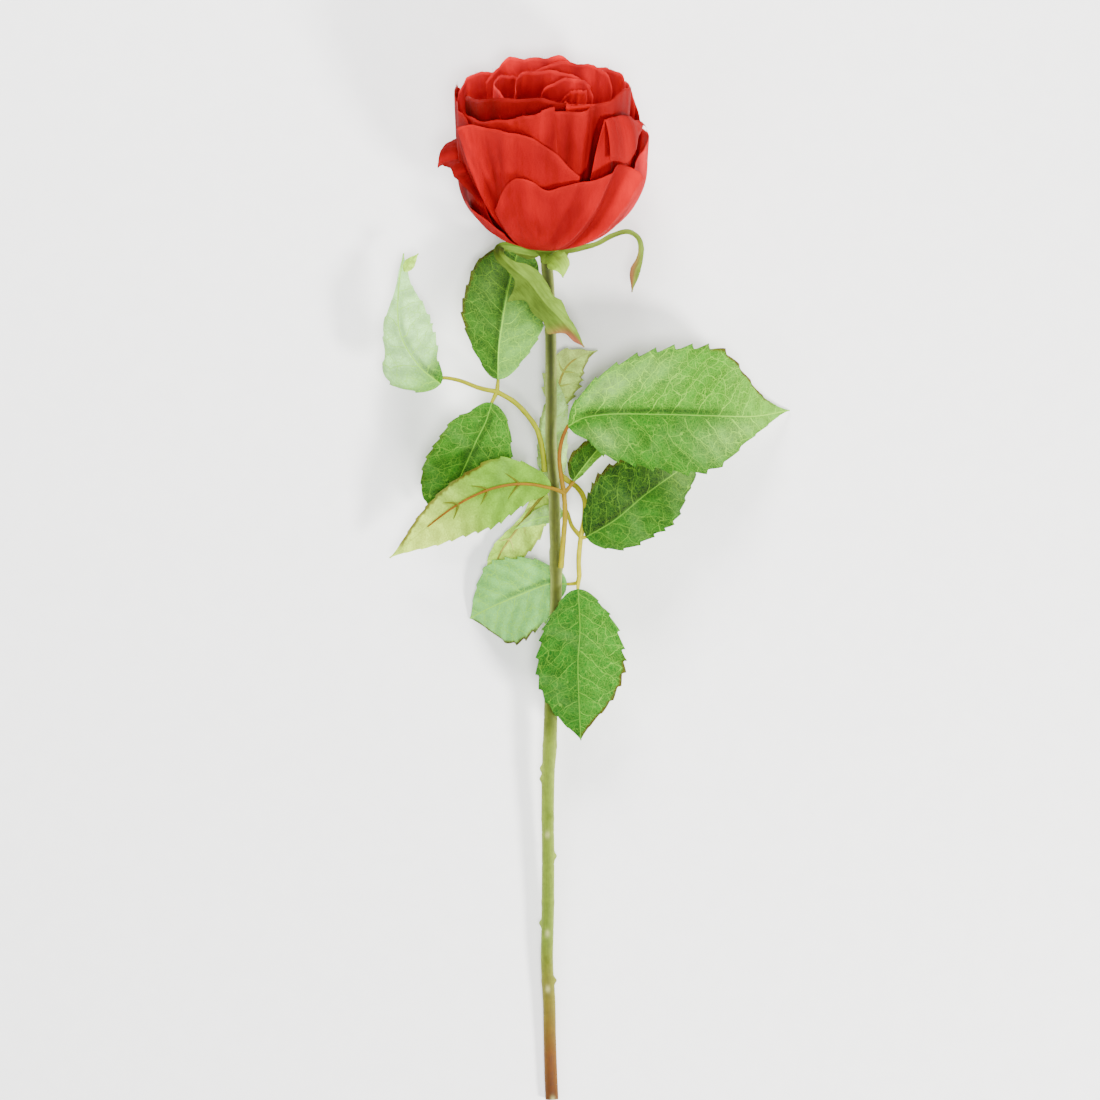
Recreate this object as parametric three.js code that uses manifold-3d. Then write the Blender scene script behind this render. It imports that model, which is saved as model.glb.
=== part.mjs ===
// An artificial long-stemmed red rose, lying on a flat surface as it would on a table.
// Pieces: a moulded stem, four stalks with moulded leaf ribs and barbs, thirteen serrated
// leaves of stiffened cloth, a calyx with five sepals, and one large bloom of layered petals.
//
// Millimetres, +Z up. The surface is z = 0 and the bloom points to +Y. The origin lies on the
// surface under the middle of the whole rose, so the cut end of the stem is at -Y.

import * as THREE from "three";
import { mergeVertices } from "three/addons/utils/BufferGeometryUtils.js";
import Module from "manifold-3d";

const wasm = await Module();
wasm.setup();

// ---------------------------------------------------------------- driving dimensions

const LEAF_THICKNESS = 0.6;
const PETAL_THICKNESS = 0.8;
const TOUCH_GAP = 0.3;

const STALK_RADIUS = 1.2;
const RIB_START_RADIUS = 0.85;
const RIB_END_RADIUS = 0.45;
const RIB_REACH = 0.66;
const RIB_GAP = 0.38;
const BARB_RADIUS = 0.42;
const BARB_LENGTH = 6;
const BARB_REACH = 0.8;

const BLOOM_BASE = new THREE.Vector3(-19.5, 167.5, 30.4);
const BLOOM_TILT = THREE.MathUtils.degToRad(22);
const RECEPTACLE_LENGTH = 9;
const NECK_LENGTH = 3;

const GREEN_STEM = new THREE.MeshStandardMaterial({ color: 0x6f8030, roughness: 0.45 });
const GREEN_STALK = new THREE.MeshStandardMaterial({ color: 0xbfae45, roughness: 0.5 });
const GREEN_LEAF = new THREE.MeshStandardMaterial({ color: 0x5a9a3c, roughness: 0.8 });
const PALE_LEAF = new THREE.MeshStandardMaterial({ color: 0xb9dc86, roughness: 0.85 });
const GREEN_SEPAL = new THREE.MeshStandardMaterial({ color: 0x93a552, roughness: 0.8 });
const RED_PETAL = new THREE.MeshStandardMaterial({ color: 0xc0271f, roughness: 0.85 });

// ---------------------------------------------------------------- curves and closed bodies

const vector = (point) => new THREE.Vector3(...point);

const smoothPath = (points) => new THREE.CatmullRomCurve3(points.map(vector), false, "centripetal");

// Smooth value of an evenly spaced list, at t from 0 to 1.
function along(list, t) {
  const place = THREE.MathUtils.clamp(t, 0, 1) * (list.length - 1);
  const i = Math.min(Math.floor(place), list.length - 2);
  const f = place - i;
  const at = (k) => list[THREE.MathUtils.clamp(k, 0, list.length - 1)];
  const [a, b, c, d] = [at(i - 1), at(i), at(i + 1), at(i + 2)];
  return b + 0.5 * f * (c - a + f * (2 * a - 5 * b + 4 * c - d + f * (3 * (b - c) + d - a)));
}

function bodyOf(positions, triangles) {
  const geometry = new THREE.BufferGeometry();
  geometry.setAttribute("position", new THREE.Float32BufferAttribute(positions, 3));
  geometry.setIndex(triangles);
  return geometry;
}

// Unit normals of a grid of points, from the neighbours across each point.
function gridNormals(grid) {
  const last = (list) => list.length - 1;
  return grid.map((row, j) => row.map((point, i) => {
    const ahead = grid[Math.min(j + 1, last(grid))][i];
    const behind = grid[Math.max(j - 1, 0)][i];
    const right = row[Math.min(i + 1, last(row))];
    const left = row[Math.max(i - 1, 0)];
    return ahead.clone().sub(behind).cross(right.clone().sub(left)).normalize();
  }));
}

// A thin closed blade around a grid of points, with both faces split into triangles alike.
function blade(grid, thickness) {
  const normals = gridNormals(grid);
  const rows = grid.length;
  const columns = grid[0].length;
  const positions = [];
  for (const half of [thickness / 2, -thickness / 2]) {
    grid.forEach((row, j) => row.forEach((point, i) => {
      positions.push(...point.clone().addScaledVector(normals[j][i], half));
    }));
  }
  const under = rows * columns;
  const at = (j, i) => j * columns + i;
  const triangles = [];
  const quad = (a, b, c, d) => triangles.push(a, b, c, a, c, d);
  for (let j = 0; j < rows - 1; j += 1) {
    for (let i = 0; i < columns - 1; i += 1) {
      const [a, b, c, d] = [at(j, i), at(j + 1, i), at(j + 1, i + 1), at(j, i + 1)];
      quad(a, b, c, d);
      triangles.push(under + a, under + c, under + b, under + a, under + d, under + c);
    }
  }
  const rim = [];
  for (let i = 0; i < columns - 1; i += 1) rim.push(at(0, i));
  for (let j = 0; j < rows - 1; j += 1) rim.push(at(j, columns - 1));
  for (let i = columns - 1; i > 0; i -= 1) rim.push(at(rows - 1, i));
  for (let j = rows - 1; j > 0; j -= 1) rim.push(at(j, 0));
  rim.forEach((here, k) => {
    const next = rim[(k + 1) % rim.length];
    quad(next, next + under, here + under, here);
  });
  return bodyOf(positions, triangles);
}

// A closed tube along a path. radiusAt gives its radius at t from 0 to 1.
function taperedTube(path, radiusAt, sides, stations) {
  const positions = [];
  const triangles = [];
  const up = new THREE.Vector3(0, 0, 1);
  stations.forEach((t) => {
    const centre = path.getPointAt(t);
    const across = path.getTangentAt(t).cross(up).normalize();
    const over = across.clone().cross(path.getTangentAt(t));
    for (let k = 0; k < sides; k += 1) {
      const turn = (2 * Math.PI * k) / sides;
      const spoke = across.clone().multiplyScalar(Math.cos(turn)).addScaledVector(over, Math.sin(turn));
      positions.push(...centre.clone().addScaledVector(spoke, radiusAt(t)));
    }
  });
  const rings = stations.length;
  for (let j = 0; j < rings - 1; j += 1) {
    for (let k = 0; k < sides; k += 1) {
      const [a, b] = [j * sides + k, j * sides + ((k + 1) % sides)];
      triangles.push(a, b + sides, b, a, a + sides, b + sides);
    }
  }
  for (let k = 1; k < sides - 1; k += 1) {
    triangles.push(0, k, k + 1);
    const far = (rings - 1) * sides;
    triangles.push(far, far + k + 1, far + k);
  }
  return bodyOf(positions, triangles);
}

const evenly = (count) => Array.from({ length: count + 1 }, (_, k) => k / count);

// ---------------------------------------------------------------- joining

function manifoldOf(geometry) {
  const plain = geometry.index ? geometry : geometry.clone();
  plain.deleteAttribute("normal");
  plain.deleteAttribute("uv");
  const merged = mergeVertices(plain, 1e-4);
  return new wasm.Manifold(new wasm.Mesh({
    numProp: 3,
    vertProperties: new Float32Array(merged.attributes.position.array),
    triVerts: new Uint32Array(merged.index.array),
  }));
}

const volumeUnder = (a, b, c) => a.dot(b.clone().cross(c)) / 6;

// The largest shell of a mesh. Sealed hollows and loose scraps are separate shells, so both go.
function largestShell(geometry) {
  const position = geometry.attributes.position;
  const triangles = geometry.index.array;
  const parent = Array.from({ length: position.count }, (_, k) => k);
  const root = (k) => {
    let top = k;
    while (parent[top] !== top) top = parent[top];
    parent[k] = top;
    return top;
  };
  for (let k = 0; k < triangles.length; k += 3) {
    parent[root(triangles[k])] = root(triangles[k + 1]);
    parent[root(triangles[k + 1])] = root(triangles[k + 2]);
  }
  const corner = (k) => new THREE.Vector3().fromBufferAttribute(position, triangles[k]);
  const volumes = new Map();
  for (let k = 0; k < triangles.length; k += 3) {
    const shell = root(triangles[k]);
    const volume = volumeUnder(corner(k), corner(k + 1), corner(k + 2));
    volumes.set(shell, (volumes.get(shell) ?? 0) + volume);
  }
  const [largest] = [...volumes].reduce((best, each) => (each[1] > best[1] ? each : best));
  const kept = [];
  for (let k = 0; k < triangles.length; k += 3) {
    if (root(triangles[k]) === largest) kept.push(...triangles.slice(k, k + 3));
  }
  const trimmed = bodyOf(position.array, kept);
  return mergeVertices(trimmed.toNonIndexed(), 1e-5);
}

function joined(geometries, cutter = null) {
  let body = manifoldOf(geometries[0]);
  for (const geometry of geometries.slice(1)) body = body.add(manifoldOf(geometry));
  if (cutter) body = body.subtract(manifoldOf(cutter));
  const mesh = body.getMesh();
  return largestShell(bodyOf(Float32Array.from(mesh.vertProperties), Array.from(mesh.triVerts)));
}

// ---------------------------------------------------------------- leaves

// rib: the midrib from the stalk to the tip. left and right: half widths, seen from above, at
// even steps along the rib. slopes: rise of the left and right half per millimetre of width.
// bow: how much the halves bend down towards their edges. tooth: depth of the teeth as a share
// of the width. foot: how the halves widen from the stalk, a small value for a round foot. hold:
// where on the rib the stalk's own rib starts. under: the underside is up.
const LEAVES = {
  leaf_a1: {
    rib: [[-72.5, 98, 33], [-83, 106.5, 36.5], [-92.5, 122.5, 35], [-94, 142.5, 27], [-91.5, 164, 16]],
    left: [12, 17.5, 10.5, 7.8, 4, 1.5, 1],
    right: [9.3, 15, 16.5, 16.5, 13.2, 7.5, 3.3],
    slopes: [-0.5, 0.15], bow: 0.008, teeth: 9, hold: 0.09,
  },
  leaf_a2: {
    rib: [[-44, 100, 37], [-43.5, 115, 38], [-41.5, 130, 35], [-38.5, 147.5, 24], [-32.5, 171, 10]],
    left: [9.7, 16.4, 21, 21.5, 20.5, 19, 12.5],
    right: [12.4, 17.7, 20.5, 19, 16.5, 14.5, 10.5],
    slopes: [0.22, 0.3], bow: 0.009, teeth: 10, tooth: 0.03,
  },
  leaf_a3: {
    rib: [[-47, 88.5, 36], [-50, 79, 37], [-54.5, 70, 35], [-60, 58, 29], [-74, 29, 16]],
    left: [12, 18.5, 21.5, 21.5, 19, 14, 7.5],
    right: [10, 15.5, 17.5, 19, 19.5, 17.5, 12.5],
    slopes: [0.28, 0.3], bow: 0.01, teeth: 10, tooth: 0.035,
  },
  leaf_b1: {
    rib: [[-9, 76.5, 38], [-2, 80.5, 40], [10, 82.5, 43], [38, 82.5, 43.5], [62, 82, 36],
      [84, 82, 22], [103, 85.5, 0.9]],
    left: [17.5, 28.4, 33.3, 35, 33.8, 21, 7.5],
    right: [19.5, 25, 28.3, 29.7, 25.5, 12, 4],
    slopes: [0.14, 0.1], bow: 0.007, teeth: 14, foot: [0.9, 0.5],
  },
  leaf_b2: {
    rib: [[-17.5, 46, 37], [-30.5, 48, 42], [-45.5, 46, 43.5], [-63.5, 38, 40], [-98.5, 11, 18]],
    left: [9.5, 15.5, 18.5, 17, 14, 10, 4.5],
    right: [9.5, 14.5, 12.5, 11, 9, 6.5, 3],
    slopes: [-0.12, 0.1], bow: 0.006, teeth: 12, under: true,
  },
  leaf_b3: {
    rib: [[-6.5, 49.5, 31], [-1.5, 56, 33], [5, 64, 33], [19, 78, 27]],
    left: [7, 9, 8.5, 7.5, 6.5, 5, 3],
    right: [2, 2.5, 3, 3.5, 4, 4, 3],
    slopes: [-0.25, 0.9], bow: 0.004, teeth: 6,
  },
  leaf_c1: {
    rib: [[-4, -4.5, 30], [-3, -25, 34.5], [-4, -40, 34.5], [-3.5, -60, 30], [-2.5, -80.5, 19]],
    left: [12, 19, 23, 24, 21, 15, 6.5],
    right: [12.5, 18.5, 20, 21, 19.5, 15, 8],
    slopes: [0.12, 0.16], bow: 0.009, teeth: 11,
  },
  leaf_c2: {
    rib: [[0, 21.5, 29], [14.5, 30, 32], [29.5, 42.5, 30.5], [57, 62, 14]],
    left: [16, 21.5, 23.5, 22, 18, 13.5, 7.5],
    right: [12.5, 17, 19, 20.5, 18, 12.5, 8],
    slopes: [0.3, 0.24], bow: 0.01, teeth: 11,
  },
  leaf_c3: {
    rib: [[-11.5, 34, 17], [-18.5, 32, 17.5], [-24, 31, 17], [-30, 28.5, 16.5], [-35.5, 25.5, 15.5]],
    left: [4, 3.5, 3.5, 3.5, 3, 2, 1],
    right: [6.5, 6, 5.5, 4.5, 3, 2, 1],
    slopes: [-0.1, 0.3], bow: 0.01, teeth: 5,
  },
  leaf_c4: {
    rib: [[-9.5, -2, 15.5], [-18, -2, 16.5], [-33, -7.5, 17], [-48, -14, 10], [-58.5, -19.5, 0.9]],
    left: [13, 16.5, 19, 21.5, 22.5, 19.5, 9.5],
    right: [9, 16, 19, 21, 20, 14, 7],
    slopes: [0.12, -0.05], bow: 0.007, teeth: 9,
  },
  leaf_d1: {
    rib: [[-16.5, 83.5, 8.5], [-14, 96, 12.5], [-10, 106.5, 14], [-3.5, 112, 12], [6, 115.5, 7]],
    left: [4.5, 7.5, 9, 9.5, 8.5, 5, 1.5],
    right: [6.5, 9, 10.5, 11, 9.5, 6.5, 2.5],
    slopes: [-0.15, 0.05], bow: 0.008, teeth: 7, under: true,
  },
  leaf_d2: {
    rib: [[-17, 49, 17.5], [-16.5, 62.5, 20], [-16.5, 77.5, 19.5], [-14.5, 101, 15]],
    left: [7, 8, 8, 7.5, 6.5, 5, 2.5],
    right: [6.5, 7, 7.5, 7.5, 7.5, 6.5, 3.5],
    slopes: [-0.2, -0.25], bow: 0.01, teeth: 8,
  },
  leaf_d3: {
    rib: [[-20, 44, 16], [-27, 36, 11.5], [-34, 26.5, 9.5], [-39, 19.5, 8.5], [-44, 11.5, 7],
      [-49, -7, 2.5]],
    left: [8, 11, 12.5, 12, 11, 9, 5.5],
    right: [3.5, 2, 2.5, 4, 5, 4.5, 3],
    slopes: [-0.12, -0.35], bow: 0.006, teeth: 8, under: true,
  },
};

const BROAD_COLUMNS = [-1, -0.55, 0, 0.55, 1];
const NARROW_COLUMNS = [-1, 0, 1];
const BROAD_FROM = 9.5;
const TOOTH_PEAK_AT = 0.75;
const TOOTH_DEPTH = 0.055;
const LEAST_HALF_WIDTH = 0.35;
const ROUND_FOOT = [0.5, 0.5];

function halfWidth(leaf, t, isLeft) {
  const widths = isLeft ? leaf.left : leaf.right;
  const foot = (leaf.foot ?? ROUND_FOOT)[isLeft ? 0 : 1];
  const firstStep = 1 / (widths.length + 1);
  if (t < firstStep) return Math.max(LEAST_HALF_WIDTH, widths[0] * (t / firstStep) ** foot);
  return Math.max(LEAST_HALF_WIDTH, along([0, ...widths, 0], t));
}

// The middle surface of a leaf: t runs along the rib, and v from -1, right edge, to 1, left edge.
function leafSurface(leaf) {
  const rib = smoothPath(leaf.rib);
  return (t, v) => {
    const forward = rib.getTangentAt(t);
    const side = new THREE.Vector3(-forward.y, forward.x, 0).normalize();
    const isLeft = v > 0;
    const across = Math.abs(v) * halfWidth(leaf, t, isLeft);
    const rise = across * (leaf.slopes[isLeft ? 0 : 1] - leaf.bow * across);
    const point = rib.getPointAt(t).addScaledVector(side, isLeft ? across : -across);
    point.z += rise;
    return point;
  };
}

// Each tooth is a valley row and a peak row, so the edge steps out slowly and back in fast.
function leafBlade(leaf) {
  const surface = leafSurface(leaf);
  const widest = Math.max(...leaf.left, ...leaf.right);
  const columns = widest > BROAD_FROM ? BROAD_COLUMNS : NARROW_COLUMNS;
  const depth = leaf.tooth ?? TOOTH_DEPTH;
  const grid = [];
  const addRow = (t, reach) => {
    grid.push(columns.map((v) => surface(t, Math.abs(v) === 1 ? v * reach : v)));
  };
  for (let tooth = 0; tooth < leaf.teeth; tooth += 1) {
    addRow(tooth / leaf.teeth, tooth === 0 ? 1 : 1 - depth);
    addRow((tooth + TOOTH_PEAK_AT) / leaf.teeth, 1 + depth / 2);
  }
  addRow(1, 1);
  return blade(grid, LEAF_THICKNESS);
}

// ---------------------------------------------------------------- stalks, ribs and barbs

// Each stalk leaves the stem, and each branch runs from the stalk to the foot of its leaf.
const STALKS = {
  stalk_a: {
    main: [[-20.9, 54, 27], [-21.4, 62, 27.6], [-22.6, 69, 28.6], [-25, 76, 30.4],
      [-29.5, 82.5, 32.8], [-36, 89, 34.6], [-44.5, 94, 35.2]],
    branches: {
      leaf_a1: [[-44.5, 94, 35.2], [-53, 95.8, 35], [-63, 99.6, 32.8], [-70, 101, 31.4]],
      leaf_a2: [[-44.5, 94, 35.2]],
      leaf_a3: [[-44.5, 94, 35.2]],
    },
  },
  stalk_b: {
    main: [[-12.5, 6, 28], [-11.9, 13, 28.8], [-11.2, 22, 30], [-10.5, 33, 31.8], [-11, 43.5, 33.4]],
    branches: {
      leaf_b1: [[-11, 43.5, 33.4], [-12.5, 52.5, 34.6], [-13.3, 61.5, 35.4], [-12, 70, 36]],
      leaf_b2: [[-11, 43.5, 33.4], [-14.5, 45, 36.5]],
      leaf_b3: [[-11, 43.5, 33.4], [-8.6, 46, 30.8]],
    },
  },
  stalk_c: {
    main: [[-15.2, 61, 23], [-14.6, 55, 22.8], [-10, 50.5, 22.6], [-4.5, 46.5, 23],
      [-1, 41, 24], [-0.6, 32.5, 25.4], [-2.5, 21.5, 26.6], [-3.6, 10, 27], [-3.3, 2, 27.2]],
    branches: {
      leaf_c1: [[-3.3, 2, 27.2]],
      leaf_c2: [[-2.5, 21.5, 26.6]],
      leaf_c3: [[-2.5, 21.5, 26.6], [-7, 27, 20.5]],
      leaf_c4: [[-3.3, 2, 27.2], [-3.9, -0.6, 22], [-4.6, -1.6, 16.6]],
    },
  },
  stalk_d: {
    main: [[-15.8, 38, 21.9], [-16.4, 42, 21.7], [-17.8, 45, 19]],
    branches: {
      leaf_d1: [[-17.8, 45, 19], [-20.5, 52, 14], [-20.5, 64, 10], [-18.4, 76, 7.6]],
      leaf_d2: [[-17.8, 45, 19]],
      leaf_d3: [[-17.8, 45, 19]],
    },
  },
};

const STALK_SIDES = 6;
const RIB_SIDES = 5;
const RIB_START = 0.02;
const RIB_SPANS = 5;
const BRANCH_SPANS = 7;
const MAIN_SPANS_PER_POINT = 1.4;
const BARB_SIDES = 3;
const BARB_STATIONS = [0.22, 0.42];
const BARB_LEAD = 0.05;
const BARB_TAPER = 0.6;
const FOOT_LENGTH = 2.2;

// A point that lies on the back of a leaf, with room for a rib of the given radius.
function behindLeaf(leaf, surface, t, v, radius) {
  const step = 0.02;
  const ahead = surface(Math.min(t + step, 1), v).sub(surface(Math.max(t - step, 0), v));
  const across = surface(t, v + step).sub(surface(t, v - step));
  const normal = across.cross(ahead).normalize();
  if (normal.z > 0 !== Boolean(leaf.under)) normal.negate();
  return surface(t, v).addScaledVector(normal, LEAF_THICKNESS / 2 + RIB_GAP + radius);
}

function ribRadius(t) {
  return THREE.MathUtils.lerp(RIB_START_RADIUS, RIB_END_RADIUS, t / RIB_REACH);
}

// A branch of a stalk with the rib and the barbs that carry one leaf.
function branchBodies(leaf, branch) {
  const surface = leafSurface(leaf);
  const ribPoints = evenly(RIB_SPANS).map((k) => {
    const t = THREE.MathUtils.lerp(leaf.hold ?? RIB_START, RIB_REACH, k);
    return behindLeaf(leaf, surface, t, 0, ribRadius(t));
  });
  const backwards = ribPoints[0].clone().sub(ribPoints[1]).setLength(FOOT_LENGTH);
  const footPoint = ribPoints[0].clone().add(backwards);
  const onRib = [footPoint, ...ribPoints].map((point) => point.toArray());
  const path = smoothPath([...branch, ...onRib]);
  const foot = branch.length / (branch.length + ribPoints.length);
  const radiusAt = (t) => (t < foot
    ? THREE.MathUtils.lerp(STALK_RADIUS, RIB_START_RADIUS, t / foot)
    : ribRadius(((t - foot) / (1 - foot)) * RIB_REACH));
  const stations = evenly(branch.length + BRANCH_SPANS);
  const bodies = [taperedTube(path, radiusAt, RIB_SIDES, stations)];
  for (const t of BARB_STATIONS) {
    for (const side of [-1, 1]) {
      const root = behindLeaf(leaf, surface, t, 0, BARB_RADIUS);
      const width = halfWidth(leaf, t, side > 0);
      const reach = side * Math.min(BARB_REACH, BARB_LENGTH / width);
      const tip = behindLeaf(leaf, surface, t + BARB_LEAD, reach, BARB_RADIUS);
      const barb = new THREE.LineCurve3(root, tip);
      bodies.push(taperedTube(barb, (k) => BARB_RADIUS * (1 - BARB_TAPER * k), BARB_SIDES, [0, 1]));
    }
  }
  return bodies;
}

function stalkBody(stalk) {
  const main = taperedTube(smoothPath(stalk.main), () => STALK_RADIUS, STALK_SIDES,
    evenly(Math.round(MAIN_SPANS_PER_POINT * stalk.main.length)));
  const branches = Object.entries(stalk.branches)
    .flatMap(([name, branch]) => branchBodies(LEAVES[name], branch));
  return joined([main, ...branches]);
}

// ---------------------------------------------------------------- bloom frame

// Local places in the bloom: x to the right, d down and away, h along its axis.
function bloomPoint(x, d, h) {
  const [lean, rise] = [Math.cos(BLOOM_TILT), Math.sin(BLOOM_TILT)];
  return new THREE.Vector3(x, h * lean + d * rise, h * rise - d * lean).add(BLOOM_BASE);
}

// ---------------------------------------------------------------- stem

// Path of the stem from the cut end to the neck, and its radius with the sleeve ends on it.
const STEM_PATH = [[-17, -262, 3.1], [-17.5, -252, 3.6], [-18, -232, 4.7], [-18.5, -212, 5.8],
  [-19.5, -191.5, 7.2], [-19, -161, 9.4], [-19, -136, 11.5], [-19, -100.5, 14.6],
  [-18, -81.5, 16.3], [-17.5, -60.5, 18.2], [-16.5, -35, 20.5], [-15, -10, 22.8],
  [-15, 10, 24.3], [-15.5, 25, 25.3], [-16, 45, 26.3], [-17.5, 70, 27.3], [-17.5, 85, 27.6],
  [-17.5, 110, 27], [-18, 135, 25.4], [-18.8, 150, 24.6],
  bloomPoint(0, 0, -RECEPTACLE_LENGTH - NECK_LENGTH).toArray(),
  bloomPoint(0, 0, -RECEPTACLE_LENGTH - TOUCH_GAP).toArray()];
const STEM_RADII = [[0, 3.2], [0.02, 3.2], [0.08, 3.05], [0.137, 3.1], [0.142, 3.3], [0.147, 3.0],
  [0.23, 3.1], [0.236, 3.3], [0.241, 3.1], [0.33, 3.05], [0.336, 3.25], [0.341, 3.1],
  [0.4, 3.2], [0.423, 3.7], [0.43, 3.4], [0.5, 3.3], [0.505, 2.9], [0.57, 2.8], [0.625, 2.9],
  [0.632, 3.3], [0.655, 3.3], [0.66, 2.8], [0.75, 2.75], [0.79, 2.75], [0.91, 2.75],
  [0.916, 3.0], [0.921, 2.75], [0.96, 2.7], [1, 2.9]];
const STEM_SIDES = 10;
const STEM_STEP = 0.045;
const NUBS = [[-95, 180], [-100, 170], [-173, 190], [-139, 0], [-202, 10], [-118, 60], [-191, 75]];
const NUB_RADIUS = 1.1;
const NUB_HEIGHT = 1.3;
const NUB_DEPTH = 0.6;
const NUB_LEAD = 0.8;
const NUB_SIDES = 6;

function stemRadius(t) {
  const next = STEM_RADII.findIndex(([place]) => place >= t);
  if (next <= 0) return STEM_RADII[0][1];
  const [[t0, r0], [t1, r1]] = [STEM_RADII[next - 1], STEM_RADII[next]];
  return THREE.MathUtils.mapLinear(t, t0, t1, r0, r1);
}

function stemBody() {
  const path = smoothPath(STEM_PATH);
  const marks = STEM_RADII.map(([t]) => t);
  const between = evenly(Math.round(1 / STEM_STEP));
  const spare = between.filter((t) => marks.every((mark) => Math.abs(mark - t) > STEM_STEP / 3));
  const stations = [...marks, ...spare].sort((a, b) => a - b);
  const bodies = [taperedTube(path, stemRadius, STEM_SIDES, stations)];
  const [yStart, yEnd] = [STEM_PATH[0][1], STEM_PATH.at(-1)[1]];
  for (const [y, degrees] of NUBS) {
    const t = (y - yStart) / (yEnd - yStart);
    const turn = THREE.MathUtils.degToRad(degrees);
    const out = new THREE.Vector3(Math.cos(turn), 0, Math.sin(turn));
    const root = path.getPointAt(t).addScaledVector(out, stemRadius(t) - NUB_DEPTH);
    const tip = root.clone().addScaledVector(out, NUB_HEIGHT).add(new THREE.Vector3(0, NUB_LEAD, 0));
    const nub = new THREE.LineCurve3(root, tip);
    bodies.push(taperedTube(nub, (k) => NUB_RADIUS * (1 - k / 2), NUB_SIDES, [0, 1]));
  }
  return joined(bodies);
}

// ---------------------------------------------------------------- calyx

const SEPALS = [
  {
    rib: [[-20, 163, 31], [-28, 165, 30], [-36, 166.8, 31], [-42, 167, 36], [-43.4, 164.5, 41.5],
      [-42.4, 161, 45.5], [-36.4, 154.7, 46.8], [-29.4, 148.8, 46.5], [-24, 141.8, 46],
      [-18.5, 135.3, 45], [-12.5, 129.4, 43.5], [-7.1, 123.4, 41], [-0.9, 116.2, 37]],
    left: [2.5, 3, 3, 3, 2.6, 2.2, 3.6, 6.6, 7.5, 7.2, 6, 7.2, 4.4, 3.4, 2],
    right: [2, 1.8, 1.6, 1.6, 2.6, 3, 2.6, 4.2, 14, 6.8, 8, 7, 9.5, 3.2, 2.4],
    slopes: [-0.12, 0.1], bow: 0.012, teeth: 12, tooth: 0.03,
  },
  {
    rib: [[-19, 162.5, 32], [-18, 161.3, 38], [-16, 159.6, 42.5], [-13, 156.2, 45],
      [-11.5, 150.5, 43.5]],
    left: [2, 2.5, 3.5, 5.8, 6.4, 5, 2.4],
    right: [2, 2.5, 3.5, 5, 5, 4, 1.5],
    slopes: [-0.1, 0.1], bow: 0.02, teeth: 5,
  },
  {
    rib: [[-16, 163.5, 31], [-4, 165.5, 33.5], [5.5, 168, 33.2], [13, 172, 33.2], [21, 174, 33.5],
      [26, 171, 33], [27.5, 166, 32], [26.5, 160, 31], [24, 154.5, 30], [23, 144, 28]],
    left: [1.6, 1.3, 1.3, 1.3, 1.3, 1.8, 3.2],
    right: [1.6, 1.3, 1.3, 1.3, 1.3, 1.6, 2],
    slopes: [0.1, 0.1], bow: 0.01, teeth: 7,
  },
  {
    rib: [[-23, 163, 28], [-30, 165.5, 24], [-36.5, 169.5, 18.5], [-42, 176, 11.5]],
    left: [3.5, 4.5, 4.5, 4, 3.5, 2.5, 1.5],
    right: [3.5, 4.5, 4.5, 4, 3.5, 2.5, 1.5],
    slopes: [0.1, 0.1], bow: 0.02, teeth: 4,
  },
  {
    rib: [[-17, 163, 27], [-14, 163.5, 20], [-11, 167, 13], [-9, 174, 7]],
    left: [3.5, 4.5, 4.5, 4, 3.5, 2.5, 1.5],
    right: [3.5, 4.5, 4.5, 4, 3.5, 2.5, 1.5],
    slopes: [0.1, 0.1], bow: 0.02, teeth: 4,
  },
];
const RECEPTACLE_PROFILE = [[0, -RECEPTACLE_LENGTH], [3.3, -RECEPTACLE_LENGTH], [3.9, -5.5],
  [6, -2.6], [7.6, -1], [7, -0.4], [0, -0.4]];
const RECEPTACLE_SIDES = 12;

// Turns a lathe body, made round +Y, onto the axis of the bloom.
function onBloomAxis(geometry) {
  geometry.rotateX(BLOOM_TILT);
  return geometry.translate(...BLOOM_BASE);
}

function latheOf(profile, sides) {
  return new THREE.LatheGeometry(profile.map(([r, h]) => new THREE.Vector2(r, h)), sides);
}

function calyxBody() {
  const receptacle = onBloomAxis(latheOf(RECEPTACLE_PROFILE, RECEPTACLE_SIDES));
  return joined([receptacle, ...SEPALS.map((sepal) => leafBlade(sepal))]);
}

// ---------------------------------------------------------------- bloom

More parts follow.
